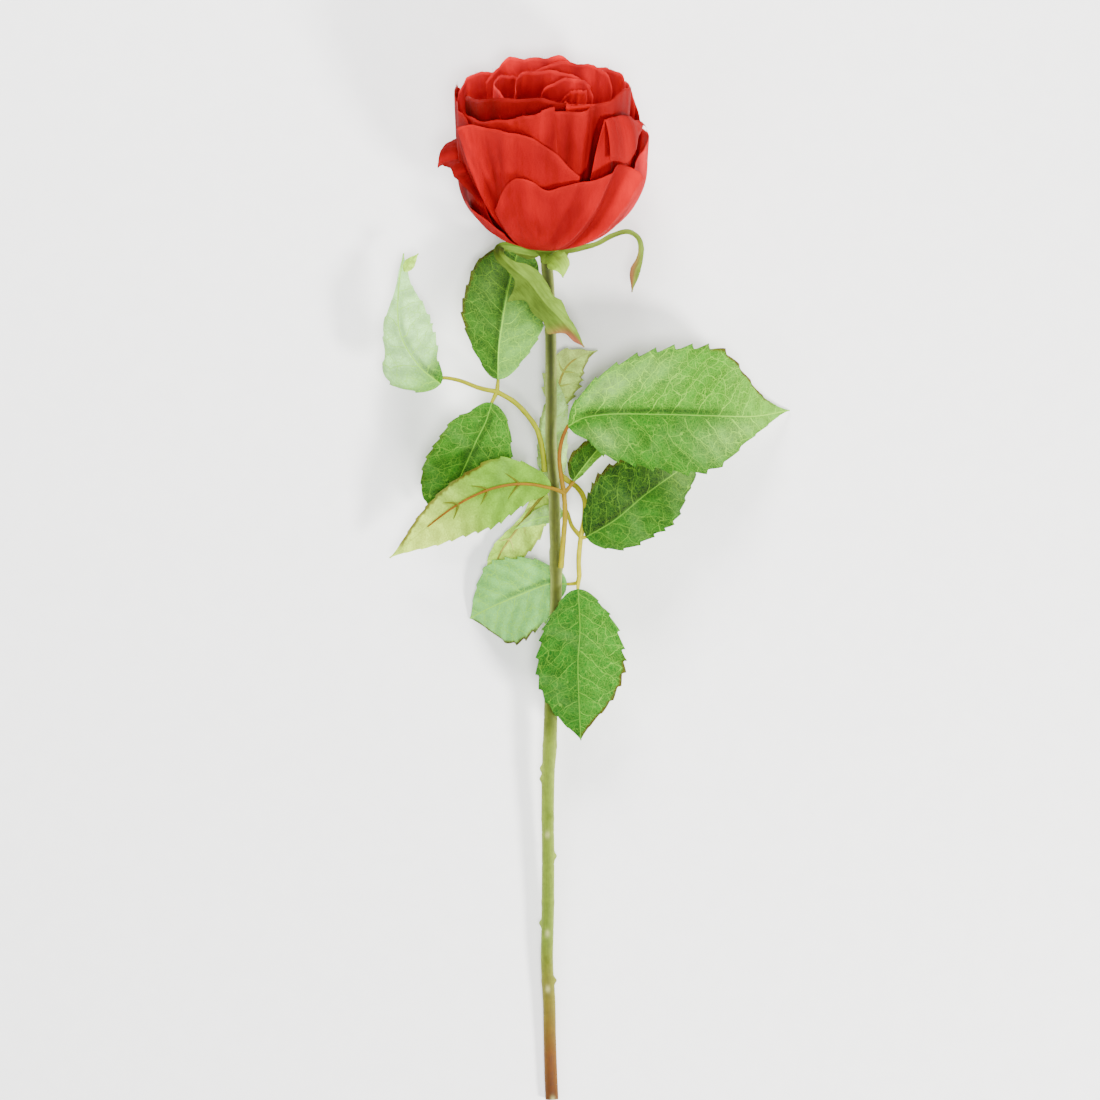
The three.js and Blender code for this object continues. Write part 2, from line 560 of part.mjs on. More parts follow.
// A petal is a piece of a round-bottomed cup. az: where its middle faces, in degrees round the
// axis, 0 towards +Z and 90 to the right. half: half its angle. r and h: radius and height of its
// cup. rim: how high its edge stands, from its left to its right corner. spiral: how much wider
// its right corner stands than its middle. lean and taper: how its sides draw in with height.
// waist: how much narrower its left and right sides are at the foot. out and drop: how far its
// edge rolls outwards and hangs down. shift: offset of its cup.
const PETALS = {
  front_heart: {
    az: 18, half: 56, r: 46.4, h: 52, spiral: 0.8, out: 1.5, waist: [0.2, 0.3],
    rim: [0.6, 0.82, 0.94, 0.945, 0.85, 0.88, 0.915, 0.92, 0.96, 1, 0.97, 0.88, 0.72],
  },
  right_outer: {
    az: 100, half: 36, r: 49.6, h: 55, spiral: 5, out: 1.2, waist: [0.1, 0.3],
    rim: [0.74, 0.92, 1, 1, 0.97, 0.9, 0.7],
  },
  left_outer: {
    az: -106, half: 54, r: 43.6, h: 51, spiral: -3, waist: [0.4, -0.15],
    out: [2, 3, 5, 8, 10, 7, 2], drop: [2],
    rim: [0.66, 0.86, 0.95, 1, 0.98, 0.96, 0.97, 0.97, 0.85, 0.91, 0.83, 0.74, 0.6],
  },
  left_low: {
    az: -60, half: 32, r: 45.6, h: 60, spiral: 1.5, out: 0.6,
    rim: [0.28, 0.4, 0.46, 0.44, 0.4, 0.34, 0.27],
  },
  table_outer: {
    az: 180, half: 44, r: 47.6, h: 58, out: 2,
    rim: [0.7, 0.93, 1, 0.94, 1, 0.93, 0.7],
  },

  left_front: {
    az: -28, half: 50, r: 44, h: 73, out: 2.6, waist: [0.85, 0.1],
    rim: [0.87, 0.955, 0.985, 0.99, 0.98, 0.86, 0.69],
  },
  right_front: {
    az: 60, half: 44, r: 44, h: 76, lean: 4, taper: 0.45, out: 4.5,
    drop: [20, 22, 23, 15, 7, 2, 0], rim: [1, 1, 0.99, 0.96, 0.92, 0.87, 0.8],
  },
  left_side: {
    az: -92, half: 32, r: 44.6, h: 78, spiral: -2.4, out: 1, waist: [0.4, 0.3],
    rim: [0.84, 0.97, 1, 0.97, 0.96, 0.94, 0.88],
  },
  table_right: {
    az: 136, half: 42, r: 44.8, h: 72, spiral: -1.2, out: 2,
    rim: [0.8, 0.95, 1, 1, 0.97, 0.9, 0.74],
  },
  table_left: {
    az: -154, half: 44, r: 43.8, h: 72, spiral: 1.2, out: 2,
    rim: [0.76, 0.92, 1, 0.95, 1, 0.93, 0.76],
  },

  centre_left: {
    az: -32, half: 42, r: 40.6, h: 85.5, lean: -5, out: 2, waist: [0.3, 0],
    rim: [0.85, 0.85, 0.86, 0.885, 0.92, 0.955, 1],
  },
  centre_right: {
    az: 42, half: 46, r: 40.2, h: 85.5, out: 1.6, waist: [0, 0.3],
    rim: [0.97, 0.965, 0.965, 0.97, 1, 1, 0.96],
  },
  back_left: {
    az: -128, half: 42, r: 43, h: 80, spiral: -1.4, out: 2.5,
    rim: [0.84, 0.95, 0.98, 1, 0.98, 0.95, 0.87],
  },
  back_right: {
    az: 140, half: 42, r: 42, h: 81, out: 2.6,
    rim: [0.84, 0.97, 0.95, 1, 0.98, 0.94, 0.84],
  },

  cup_left: {
    az: -45, half: 62, r: 36.8, h: 86.5, spiral: -4, out: 0.8,
    rim: [0.86, 0.9, 0.94, 0.975, 1, 1, 0.98],
  },
  cup_back: {
    az: -166, half: 42, r: 35.6, h: 86.5, out: 1.6,
    rim: [0.93, 0.99, 1, 0.99, 1, 0.97, 0.9],
  },
  cup_right: {
    az: 96, half: 52, r: 37, h: 86, spiral: 1, out: 1.6,
    rim: [0.88, 0.94, 0.955, 0.945, 0.975, 0.97, 0.9],
  },

  inner_left: {
    az: -100, half: 58, r: 29.5, h: 84, shift: 4, spiral: -1,
    rim: [0.9, 0.98, 1, 0.98, 0.92],
  },
  inner_front: {
    az: 15, half: 62, r: 31, h: 82, shift: 4, spiral: 1,
    rim: [0.92, 0.98, 1, 0.98, 0.92],
  },
  inner_back: {
    az: 150, half: 58, r: 30, h: 86, shift: 4, spiral: 1,
    rim: [0.9, 0.98, 1, 0.99, 0.92],
  },
  spiral_back: {
    az: -150, half: 78, r: 22, h: 86, shift: 8, spiral: 1.5,
    rim: [0.9, 0.96, 0.98, 1, 0.95],
  },
  spiral_front: {
    az: 10, half: 78, r: 22.5, h: 80, shift: 8, spiral: 1.5,
    rim: [0.92, 0.98, 1, 0.98, 0.94],
  },
  swirl_back: {
    az: 172, half: 88, r: 13.5, h: 82, shift: 11, spiral: 1.2,
    rim: [0.9, 0.98, 1, 0.98, 0.9],
  },
  swirl_front: {
    az: -5, half: 88, r: 13.5, h: 77, shift: 11, spiral: 1.2,
    rim: [0.93, 0.99, 1, 0.98, 0.93],
  },
  heart_back: {
    az: 160, half: 95, r: 6.4, h: 78.5, shift: 14, spiral: 0.8,
    rim: [0.92, 1, 1, 0.98, 0.92],
  },
  heart_front: {
    az: -20, half: 95, r: 6.4, h: 75, shift: 14, spiral: 0.8,
    rim: [0.93, 1, 1, 0.98, 0.93],
  },
};

const CUP_BELLY = 0.72;
const CUP_ROUND = 2.05;
const ROLL_FROM = 0.82;
const ROLL_HUMP = 0.8;
const FLANGE_FROM = 3;
const FLARE_FROM = 0.7;
const FLARE_TO = 1.05;
const EVEN_WAIST = [0.3, 0.3];
const BASE_LIFT = 0.6;
const CORE_PROFILE = [[0, -0.1], [6.5, -0.1], [9, 1.2], [14, 5], [11, 22], [8, 44], [4, 56], [0, 60]];
const CORE_SIDES = 12;
const ROLLED_ROWS = [0.03, 0.2, 0.4, 0.62, 0.82, 0.92, 1];
const FLARED_ROWS = [0.03, 0.2, 0.42, 0.7, 1];
const INNER_ROWS = [0.03, 0.4, 0.8, 1];
const BELOW_SIDE = 300;
const BELOW_DEPTH = 20;

// Radius of a cup, as a share of its widest, at a share of its height.
function cupRadius(height) {
  const below = 1 - Math.min(height / CUP_BELLY, 1);
  return (1 - below ** CUP_ROUND) ** (1 / CUP_ROUND);
}

// The middle surface of a petal: s runs from its foot to its edge, u from its left to its right.
// A petal that rolls out far has a flange along its edge, and the others only flare.
function petalPoint(petal, s, u) {
  const { spiral = 0, lean = 0, taper = 0, drop = [0, 0], shift = 0, waist = EVEN_WAIST } = petal;
  const across = (u + 1) / 2;
  const outs = [petal.out ?? 0].flat();
  const out = outs.length > 1 ? along(outs, across) : outs[0];
  const isFlanged = Math.max(...outs) > FLANGE_FROM;
  const body = isFlanged ? Math.min(s / ROLL_FROM, 1) : s;
  const roll = Math.max(0, (s - ROLL_FROM) / (1 - ROLL_FROM));
  const height = along(petal.rim, across) * body ** 1.6;
  const hang = along(drop.length > 1 ? drop : [...drop, ...drop], across);
  const spread = (1 - taper * height ** 2) * (1 - waist[u < 0 ? 0 : 1] * (1 - height));
  const turn = THREE.MathUtils.degToRad(petal.az + lean * height ** 2 + petal.half * u * spread);
  const flare = isFlanged
    ? (1 - Math.cos(Math.PI * roll)) / 2
    : THREE.MathUtils.smoothstep(s, FLARE_FROM, FLARE_TO);
  const radius = petal.r * cupRadius(height) + spiral * u * Math.sqrt(height) + out * flare;
  const hump = isFlanged ? ROLL_HUMP * Math.sin(Math.PI * roll) : 0;
  const h = BASE_LIFT + petal.h * height + hump - hang * roll ** 2;
  return bloomPoint(radius * Math.sin(turn) + shift * height, -radius * Math.cos(turn), h);
}

function petalBlade(petal) {
  const columns = petal.rim.length - 1;
  const rows = petal.drop ? ROLLED_ROWS : petal.out ? FLARED_ROWS : INNER_ROWS;
  const grid = rows.map((s) => evenly(columns).map((k) => petalPoint(petal, s, 2 * k - 1)));
  return blade(grid, PETAL_THICKNESS);
}

function bloomBody() {
  const core = onBloomAxis(latheOf(CORE_PROFILE, CORE_SIDES));
  const petals = Object.values(PETALS).map((petal) => petalBlade(petal));
  const below = new THREE.BoxGeometry(BELOW_SIDE, BELOW_SIDE, BELOW_DEPTH);
  below.translate(BLOOM_BASE.x, BLOOM_BASE.y, -BELOW_DEPTH / 2);
  return joined([core, ...petals], below);
}

// ---------------------------------------------------------------- the rose

const rose = new THREE.Group();

function addPiece(name, geometry, material) {
  const mesh = new THREE.Mesh(geometry, material.clone());
  mesh.name = name;
  rose.add(mesh);
}

addPiece("stem", stemBody(), GREEN_STEM);
addPiece("calyx", calyxBody(), GREEN_SEPAL);
addPiece("bloom", bloomBody(), RED_PETAL);
for (const [name, stalk] of Object.entries(STALKS)) addPiece(name, stalkBody(stalk), GREEN_STALK);
for (const [name, leaf] of Object.entries(LEAVES)) {
  addPiece(name, leafBlade(leaf), leaf.under ? PALE_LEAF : GREEN_LEAF);
}

export default rose;
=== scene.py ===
# An artificial long-stemmed red rose that lies on a pale table, seen from straight above.
# Petals and leaves are thin stiffened cloth, and the stem and stalks are moulded plastic.
# The rose is laid out in millimetres, and make_piece turns them into metres.

import math
import random

import bpy
import numpy as np
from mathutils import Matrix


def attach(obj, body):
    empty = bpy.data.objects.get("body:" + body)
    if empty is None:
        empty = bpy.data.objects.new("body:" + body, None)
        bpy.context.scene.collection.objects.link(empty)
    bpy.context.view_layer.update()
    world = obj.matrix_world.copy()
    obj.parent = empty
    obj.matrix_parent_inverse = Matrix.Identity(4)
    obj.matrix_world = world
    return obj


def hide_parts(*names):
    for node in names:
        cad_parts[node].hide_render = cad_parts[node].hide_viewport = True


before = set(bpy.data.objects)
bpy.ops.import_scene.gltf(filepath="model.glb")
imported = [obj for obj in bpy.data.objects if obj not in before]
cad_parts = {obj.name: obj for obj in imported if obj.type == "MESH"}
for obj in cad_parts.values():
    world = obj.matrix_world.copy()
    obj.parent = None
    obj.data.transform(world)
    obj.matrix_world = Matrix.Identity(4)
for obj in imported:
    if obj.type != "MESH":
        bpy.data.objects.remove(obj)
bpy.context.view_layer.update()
SEED = 7
random.seed(SEED)
dice = np.random.default_rng(SEED)

MM = 0.001
PAINT_DEPTH = 0.86
PAINT_CONTRAST = 1.42
LEAF_THICKNESS = 0.4
PETAL_THICKNESS = 0.26
EDGE_THINNING = 0.45

STALK_RADIUS = 1.2
RIB_START_RADIUS = 0.85
RIB_END_RADIUS = 0.4
RIB_REACH = 0.72
RIB_START = 0.02
RIB_SINK = 0.12
BARB_RADIUS = 0.6
BARB_LENGTH = 5.4
BARB_STATIONS = (0.17, 0.33, 0.5)
BARB_PLACES = np.array([0, 0.35, 0.7, 1])
BARB_LEAD = 0.07
FOOT_LENGTH = 2.2

BLOOM_BASE = np.array((-19.5, 167.5, 30.4))
BLOOM_TILT = math.radians(22)
RECEPTACLE_LENGTH = 9.0


# ---------------------------------------------------------------- curves

def along(values, t):
    """Smooth value of an evenly spaced list, at t from 0 to 1."""
    values = np.asarray(values, float)
    last = len(values) - 1
    place = np.clip(t, 0, 1) * last
    i = np.minimum(place.astype(int), last - 1)
    f = place - i
    a, b, c, d = (values[np.clip(i + k, 0, last)] for k in (-1, 0, 1, 2))
    return b + 0.5 * f * (c - a + f * (2 * a - 5 * b + 4 * c - d + f * (3 * (b - c) + d - a)))


def smooth_step(lo, hi, x):
    f = np.clip((x - lo) / (hi - lo), 0, 1)
    return f * f * (3 - 2 * f)


def unit(vectors):
    return vectors / np.maximum(np.linalg.norm(vectors, axis=-1, keepdims=True), 1e-9)


class Path:
    """A smooth curve through points, read by its length from 0 to 1."""

    def __init__(self, points, samples=900):
        points = np.asarray(points, float)
        ends = 2 * points[0] - points[1], 2 * points[-1] - points[-2]
        held = np.vstack([ends[0], points, ends[1]])
        place = np.linspace(0, len(points) - 1, samples)
        i = np.minimum(place.astype(int), len(points) - 2)
        f = (place - i)[:, None]
        p0, p1, p2, p3 = (held[i + k] for k in range(4))
        d0, d1, d2 = (np.sqrt(np.linalg.norm(b - a, axis=1))[:, None]
                      for a, b in ((p0, p1), (p1, p2), (p2, p3)))
        m1 = ((p1 - p0) / d0 - (p2 - p0) / (d0 + d1) + (p2 - p1) / d1) * d1
        m2 = ((p2 - p1) / d1 - (p3 - p1) / (d1 + d2) + (p3 - p2) / d2) * d1
        square, cube = f * f, f * f * f
        self.points = (p1 + m1 * f + (3 * (p2 - p1) - 2 * m1 - m2) * square
                       + (2 * (p1 - p2) + m1 + m2) * cube)
        steps = np.linalg.norm(np.diff(self.points, axis=0), axis=1)
        self.length = steps.sum()
        self.share = np.concatenate([[0], np.cumsum(steps)]) / self.length

    def at(self, t):
        t = np.clip(t, 0, 1)
        return np.stack([np.interp(t, self.share, self.points[:, k]) for k in range(3)], axis=-1)

    def heading(self, t, step=0.004):
        return unit(self.at(np.minimum(t + step, 1)) - self.at(np.maximum(t - step, 0)))


def ripples(t, cycles, count=4):
    """A seeded sum of waves, about -1 to 1."""
    total = np.zeros_like(t, dtype=float)
    for _ in range(count):
        total += np.sin(2 * math.pi * (cycles * dice.uniform(0.5, 1.5) * t + dice.uniform()))
    return total / count


# ---------------------------------------------------------------- meshes

def srgb(*levels):
    """Paint for a colour seen in the studio light as these levels from 0 to 255 on a screen."""
    share = np.asarray(levels, float) / 255
    linear = np.where(share <= 0.04045, share / 12.92, ((share + 0.055) / 1.055) ** 2.4)
    return PAINT_DEPTH * linear ** PAINT_CONTRAST


def link(name, data):
    """A new object in the scene."""
    made = bpy.data.objects.new(name, data)
    bpy.context.scene.collection.objects.link(made)
    return made


def make_piece(name, points, faces, slots, materials, uvs, tint, node):
    mesh = bpy.data.meshes.new(name)
    mesh.from_pydata((points * MM).tolist(), [], faces)
    for each in materials:
        mesh.materials.append(each)
    mesh.polygons.foreach_set("material_index", slots)
    mesh.polygons.foreach_set("use_smooth", [True] * len(faces))
    corner = np.zeros(len(mesh.loops), int)
    mesh.loops.foreach_get("vertex_index", corner)
    for key, uv in uvs.items():
        layer = mesh.uv_layers.new(name=key)
        layer.data.foreach_set("uv", uv[corner].ravel())
    colours = mesh.attributes.new("Tint", "FLOAT_COLOR", "POINT")
    colours.data.foreach_set("color", np.hstack([tint, np.ones((len(tint), 1))]).ravel())
    mesh.update()
    piece = link(name, mesh)
    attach(piece, "root")
    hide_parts(node)


def make_solid(name, parts, material, tint, node):
    """A piece of one material. parts: its points, faces and places."""
    points, faces, places = parts
    tint = np.ones_like(points) * tint
    make_piece(name, points, faces, [0] * len(faces), (material,), {"cloth": places}, tint, node)


def grid_normal(grid):
    return unit(np.cross(np.gradient(grid, axis=0), np.gradient(grid, axis=1)))


def blade_parts(grid, thickness):
    """Points and faces of a thin closed blade round a grid. Faces of its upper side come first."""
    rows, columns = grid.shape[:2]
    normal = grid_normal(grid)
    half = np.full((rows, columns, 1), thickness / 2)
    half[[0, -1]] *= EDGE_THINNING
    half[:, [0, -1]] *= EDGE_THINNING
    points = np.concatenate([(grid + normal * half).reshape(-1, 3),
                             (grid - normal * half).reshape(-1, 3)])
    index = np.arange(rows * columns).reshape(rows, columns)
    a, b, c, d = (part.ravel() for part in
                  (index[:-1, :-1], index[1:, :-1], index[1:, 1:], index[:-1, 1:]))
    under = rows * columns
    upper_faces = np.stack([a, b, c, d], axis=1)
    lower_faces = np.stack([d, c, b, a], axis=1) + under
    rim = np.concatenate([index[0, :-1], index[:-1, -1], index[-1, :0:-1], index[:0:-1, 0]])
    following = np.roll(rim, -1)
    rim_faces = np.stack([following, following + under, rim + under, rim], axis=1)
    faces = np.concatenate([upper_faces, lower_faces, rim_faces]).tolist()
    return points, faces, len(upper_faces), len(rim_faces)


def make_blade(name, grid, thickness, uvs, tints, materials, node):
    """tints and materials: for the upper side, then the lower side."""
    points, faces, sides, edge = blade_parts(grid, thickness)
    slots = [0] * sides + [len(materials) - 1] * sides + [0] * edge
    doubled = {key: np.tile(uv.reshape(-1, 2), (2, 1)) for key, uv in uvs.items()}
    tint = np.concatenate([each.reshape(-1, 3) for each in tints])
    make_piece(name, points, faces, slots, materials, doubled, tint, node)


def ring_faces(rings, sides):
    """Faces between rings of points that follow one another."""
    j, k = np.meshgrid(np.arange(rings - 1), np.arange(sides), indexing="ij")
    a, b = (j * sides + k).ravel(), (j * sides + (k + 1) % sides).ravel()
    return np.stack([a, a + sides, b + sides, b], axis=1).tolist()


def tube_parts(path, radius_at, sides, rings, swell=None):
    """Points, faces and places of a closed tube. swell(t, turn, centre) adds to its radius."""
    t = np.linspace(0, 1, rings)
    centre, heading = path.at(t), path.heading(t)
    across = unit(np.cross(heading, (0, 0, 1)))
    over = np.cross(across, heading)
    turn = np.linspace(0, 2 * math.pi, sides, endpoint=False)
    spokes = (across[:, None] * np.cos(turn)[None, :, None]
              + over[:, None] * np.sin(turn)[None, :, None])
    radius = np.repeat(radius_at(t)[:, None], sides, axis=1)
    if swell:
        radius = radius + swell(t[:, None], turn[None, :], centre)
    ring_points = centre[:, None] + spokes * radius[..., None]
    points = np.concatenate([ring_points.reshape(-1, 3), centre[[0, -1]]])
    faces = ring_faces(rings, sides)
    first, last = rings * sides, rings * sides + 1
    end = (rings - 1) * sides
    for k in range(sides):
        faces.append([first, k, (k + 1) % sides])
        faces.append([last, end + (k + 1) % sides, end + k])
    place = np.stack(np.broadcast_arrays(t[:, None] * path.length,
                                         turn[None, :] * radius.mean()), axis=-1)
    place = np.concatenate([place.reshape(-1, 2), [[0, 0], [path.length, 0]]])
    return points, faces, place


def join_parts(parts):
    """One set of points, faces and places from several."""
    points, faces, places, offset = [], [], [], 0
    for each_points, each_faces, each_places in parts:
        points.append(each_points)
        places.append(each_places)
        faces.extend([[corner + offset for corner in face] for face in each_faces])
        offset += len(each_points)
    return np.concatenate(points), faces, np.concatenate(places)


# ---------------------------------------------------------------- materials

# Pitches and widths are in millimetres, and reliefs in metres. A side vein's reach, beside the
# midrib and at the edge, is a share of the distance between two. Each wobble of the side veins
# is the scale, detail and size of its noise.
WHITE = (1.0, 1.0, 1.0, 1.0)
SIDE_VEIN_REACH = (0.034, 0.013)
VEIN_WOBBLES = ((0.05, 1.0, 0.9), (0.22, 2.0, 0.26))
LOOP_PITCH, LOOP_WIDTH = 6.5, 0.3
NET_PITCH, NET_WIDTH = 2.6, 0.26
FINE_PITCH, FINE_WIDTH = 1.2, 0.3
LEAF_WEAVE, PETAL_WEAVE = 0.32, 0.3
# Green of pale areas on leaves, partly wear and partly painted sheen.
WEAR_AND_SHEEN_GREEN = (156, 202, 124)
FRONT_VEINS, BACK_VEINS = (184, 236, 96), (150, 184, 72)
PETAL_GLOW, PETAL_SHEEN = (0.85, 0.035, 0.03, 1.0), (255, 90, 70)
CLOTH_RELIEF, PETAL_RELIEF, PLASTIC_RELIEF = 0.0003, 0.0004, 0.0002
# How strong the painted light and shade across the side veins is.
QUILT_PAINTED_SHADE = 0.16
CLOTH_GLEAM, PLASTIC_GLEAM = 0.08, 0.14


class Shader:
    """Builds the nodes of one material. Each call adds a node and returns one of its outputs."""

    def __init__(self, name):
        self.material = bpy.data.materials.new(name)
        self.material.use_nodes = True
        self.tree = self.material.node_tree
        self.tree.nodes.clear()

    def __call__(self, kind, inputs=None, output=0, **settings):
        made = self.tree.nodes.new("ShaderNode" + kind)
        for key, value in settings.items():
            setattr(made, key, value)
        for key, value in (inputs or {}).items():
            if isinstance(value, bpy.types.NodeSocket):
                self.tree.links.new(value, made.inputs[key])
            else:
                made.inputs[key].default_value = value
        return made.outputs[output] if made.outputs else None

    def math(self, operation, value, *others):
        """One number from several, by that operation from left to right."""
        for other in others:
            value = self("Math", {0: value, 1: other}, operation=operation)
        return value

    def add(self, *values):
        return self.math("ADD", *values)

    def times(self, *values):
        return self.math("MULTIPLY", *values)

    def weighted(self, *parts):
        """The sum of values, each times its weight."""
        return self.add(*(self.times(value, weight) for value, weight in parts))

    def scaled(self, vector, factor):
        return self("VectorMath", {0: vector, "Scale": factor}, operation="SCALE")

    def split(self, vector):
        """The three parts of a vector."""
        return self("SeparateXYZ", {0: vector}, slice(3))

    def step(self, value, lo, hi, start=0.0, end=1.0):
        inputs = {"Value": value, "From Min": lo, "From Max": hi, "To Min": start, "To Max": end}
        return self("MapRange", inputs, interpolation_type="SMOOTHSTEP")

    def mix(self, factor, a, b):
        """A colour between a and b. Sockets 6, 7 and 2 are the node's colours."""
        return self("Mix", {0: factor, 6: a, 7: b}, 2, data_type="RGBA")

    def uv(self, key):
        return self("UVMap", uv_map=key)

    def noise(self, vector, scale, detail=2.0, roughness=0.5, stretch=(1, 1, 1), output=0):
        spread = self("VectorMath", {0: vector, 1: stretch}, operation="MULTIPLY")
        inputs = {"Vector": spread, "Scale": scale, "Detail": detail, "Roughness": roughness}
        return self("TexNoise", inputs, output, noise_dimensions="3D")

    def bent(self, vector, scale, reach):
        """The vector, moved sideways by noise, by up to reach millimetres."""
        offset = self("VectorMath", {0: self.noise(vector, scale, output=1), 1: (0.5, 0.5, 0.5)},
                      operation="SUBTRACT")
        offset = self.scaled(offset, 2 * reach)
        return self("VectorMath", {0: vector, 1: offset}, operation="ADD")

    def cell_lines(self, vector, pitch, width):
        """Lines of that width in millimetres round irregular cells about pitch across."""
        edge = self("TexVoronoi", {"Vector": vector, "Scale": 1 / pitch},
                    feature="DISTANCE_TO_EDGE", voronoi_dimensions="2D")
        return self.step(edge, 0.15 * width / pitch, 0.75 * width / pitch, 1.0, 0.0)

    def row_lines(self, place, reach, strength):
        """A line along each whole number of place, which fades out at reach to both sides."""
        off = self.math("DIVIDE", self.math("PINGPONG", place, 0.5), reach)
        return self.step(self.math("SUBTRACT", 1.0, off), 0.0, 0.8, 0.0, strength)

    def sine(self, value):
        return self("Math", {0: value}, operation="SINE")

    def weave(self, cloth, pitch):
        """Height of a plain weave whose threads stand pitch millimetres apart."""
        return self.times(*(self.sine(self.times(part, math.pi / pitch))
                            for part in self.split(cloth)[:2]))

    def surface(self, colour, height, depth, roughness, sheen_tint, see_through, glow, sheen=0.03):
        """The cloth itself: a sheen of fibres, some light through it, and its relief in metres."""
        relief = self("Bump", {"Height": height, "Distance": depth, "Strength": 1.0})
        body = self("BsdfPrincipled", {
            "Base Color": colour, "Roughness": roughness, "Normal": relief,
            "Sheen Weight": sheen, "Sheen Tint": sheen_tint, "Sheen Roughness": 0.45,
            "Specular IOR Level": CLOTH_GLEAM,
        })
        through = self("BsdfTranslucent", {"Color": glow, "Normal": relief})
        mixed = self("MixShader", {0: see_through, 1: body, 2: through})
        self("OutputMaterial", {"Surface": mixed})
        return self.material


def tone(*levels):
    return (*[float(c) for c in srgb(*levels)], 1.0)


def piece_shader(name):
    """A shader, with the colour painted on a piece and its places in millimetres."""
    shader = Shader(name)
    return shader, shader("Attribute", attribute_name="Tint"), shader.uv("cloth")


def leaf_material(name, is_front):
    """Printed cloth leaf: midrib, side veins that loop near the edge, a net, and pale areas of
    wear and painted sheen.
    """
    shader, tint, cloth = piece_shader(name)
    from_midrib = shader("Math", {0: shader.split(cloth)[1]}, operation="ABSOLUTE")
    vein_place, across, _ = shader.split(shader.uv("veins"))
    sway = shader.weighted(*((shader.noise(cloth, scale, detail), size)
                             for scale, detail, size in VEIN_WOBBLES))
    swayed = shader.add(vein_place, sway)
    reach = shader.step(across, 0.0, 1.0, *SIDE_VEIN_REACH)
    side_veins = shader.row_lines(swayed, reach, 1.0)
    half_way = shader.add(vein_place, 0.5, shader.times(sway, 1.3))
    minor_veins = shader.times(shader.row_lines(half_way, shader.times(reach, 0.7), 0.6),
                               shader.step(across, 0.15, 0.5))
    midrib = shader.step(from_midrib, 0.14, 0.44, 1.0, 0.0)
    bent = shader.bent(cloth, 0.3, 2.2)
    loops = shader.times(shader.cell_lines(shader.bent(cloth, 0.12, 4.0), LOOP_PITCH, LOOP_WIDTH),
                         shader.step(from_midrib, 2.0, 9.0, 0.2, 0.85))
    net = shader.times(shader.cell_lines(bent, NET_PITCH, NET_WIDTH),
                       shader.step(shader.noise(cloth, 0.25), 0.35, 0.65, 0.2, 0.75))
    fine_net = shader.times(shader.cell_lines(bent, FINE_PITCH, FINE_WIDTH), 0.28)
    printed = shader.math("MAXIMUM", net, fine_net, loops, side_veins, minor_veins, midrib)
    mottle = shader.step(shader.noise(cloth, 0.085, 4.0, 0.6), 0.3, 0.7, 0.8, 1.14)
    specks = shader.step(shader.noise(cloth, 1.1, 3.0, 0.8), 0.34, 0.68, 0.82, 1.14)
    # Painted light and shade across each side vein, lighter on one side of it and darker on the
    # other.
    quilt = shader.times(shader.sine(shader.times(swayed, 2 * math.pi)),
                         shader.step(across, 0.05, 0.3, 0.0, QUILT_PAINTED_SHADE))
    base = shader.scaled(tint, shader.times(mottle, specks, shader.add(quilt, 1.0)))
    # Pale areas, partly wear and partly painted sheen.
    wear_and_sheen = shader.step(shader.noise(shader.bent(cloth, 0.1, 5.0), 0.06, 3.0, 0.55,
                                    stretch=(1.0, 0.55, 1.0)), 0.48, 0.75, 0.0, 0.15)
    grain = shader.step(shader.noise(cloth, 1.0, 3.0, 0.7), 0.3, 0.6, 0.6, 1.0)
    base = shader.mix(shader.times(wear_and_sheen, grain), base, tone(*WEAR_AND_SHEEN_GREEN))
    vein_colour, strength, side, roughness = tone(*BACK_VEINS), 0.3, 1.0, 0.68
    if is_front:
        vein_colour, side, roughness = tone(*FRONT_VEINS), -1.0, 0.55
        strength = shader.step(shader.split(tint)[1], 0.05, 0.26, 0.26, 0.9)
    coloured = shader.mix(shader.times(printed, strength), base, vein_colour)
    relief = shader.weighted((printed, 0.5 * side), (shader.weave(cloth, LEAF_WEAVE), 0.14),
                             (shader.noise(cloth, 0.5, 3.0), 0.7))
    return shader.surface(coloured, relief, CLOTH_RELIEF, roughness, WHITE, 0.16, coloured)


def sepal_material(name):
    """Soft green cloth with fibres along it and faint streaks."""
    shader, tint, cloth = piece_shader(name)
    fibres = shader.noise(cloth, 0.9, 4.0, 0.6, stretch=(0.12, 1.0, 1.0))
    clouds = shader.noise(cloth, 0.14, 3.0, 0.6, stretch=(0.5, 1.0, 1.0))
    colour = shader.scaled(tint, shader.times(shader.step(fibres, 0.3, 0.7, 0.8, 1.16),
                                              shader.step(clouds, 0.3, 0.7, 0.74, 1.2)))
    relief = shader.add(fibres, shader.times(shader.weave(cloth, PETAL_WEAVE), 0.1))
    return shader.surface(colour, relief, CLOTH_RELIEF, 0.7, WHITE, 0.16, colour, 0.04)


def petal_material(name):
    """Dyed cloth petal: fine lengthwise streaks, soft mottling, a weave and a velvety sheen."""
    shader, tint, cloth = piece_shader(name)
    streaks = shader.noise(cloth, 0.55, 3.0, 0.55, stretch=(1.0, 0.06, 1.0))
    clouds = shader.noise(cloth, 0.06, 3.0, 0.5)
    colour = shader.scaled(tint, shader.times(shader.step(streaks, 0.3, 0.72, 0.975, 1.02),
                                              shader.step(clouds, 0.3, 0.7, 0.84, 1.12)))
    fibres = shader.noise(cloth, 3.0, 2.0, 0.6)
    creases = shader.noise(cloth, 0.22, 4.0, 0.55, stretch=(1.0, 0.45, 1.0))
    puckers = shader.noise(cloth, 0.075, 2.0, 0.45, stretch=(1.0, 0.3, 1.0))
    relief = shader.weighted((shader.weave(cloth, PETAL_WEAVE), 0.1), (fibres, 0.12),
                             (creases, 1.3), (puckers, 9.0))
    glow = shader.mix(0.4, colour, PETAL_GLOW)
    sheen = tone(*PETAL_SHEEN)
    return shader.surface(colour, relief, PETAL_RELIEF, 0.75, sheen, 0.22, glow)


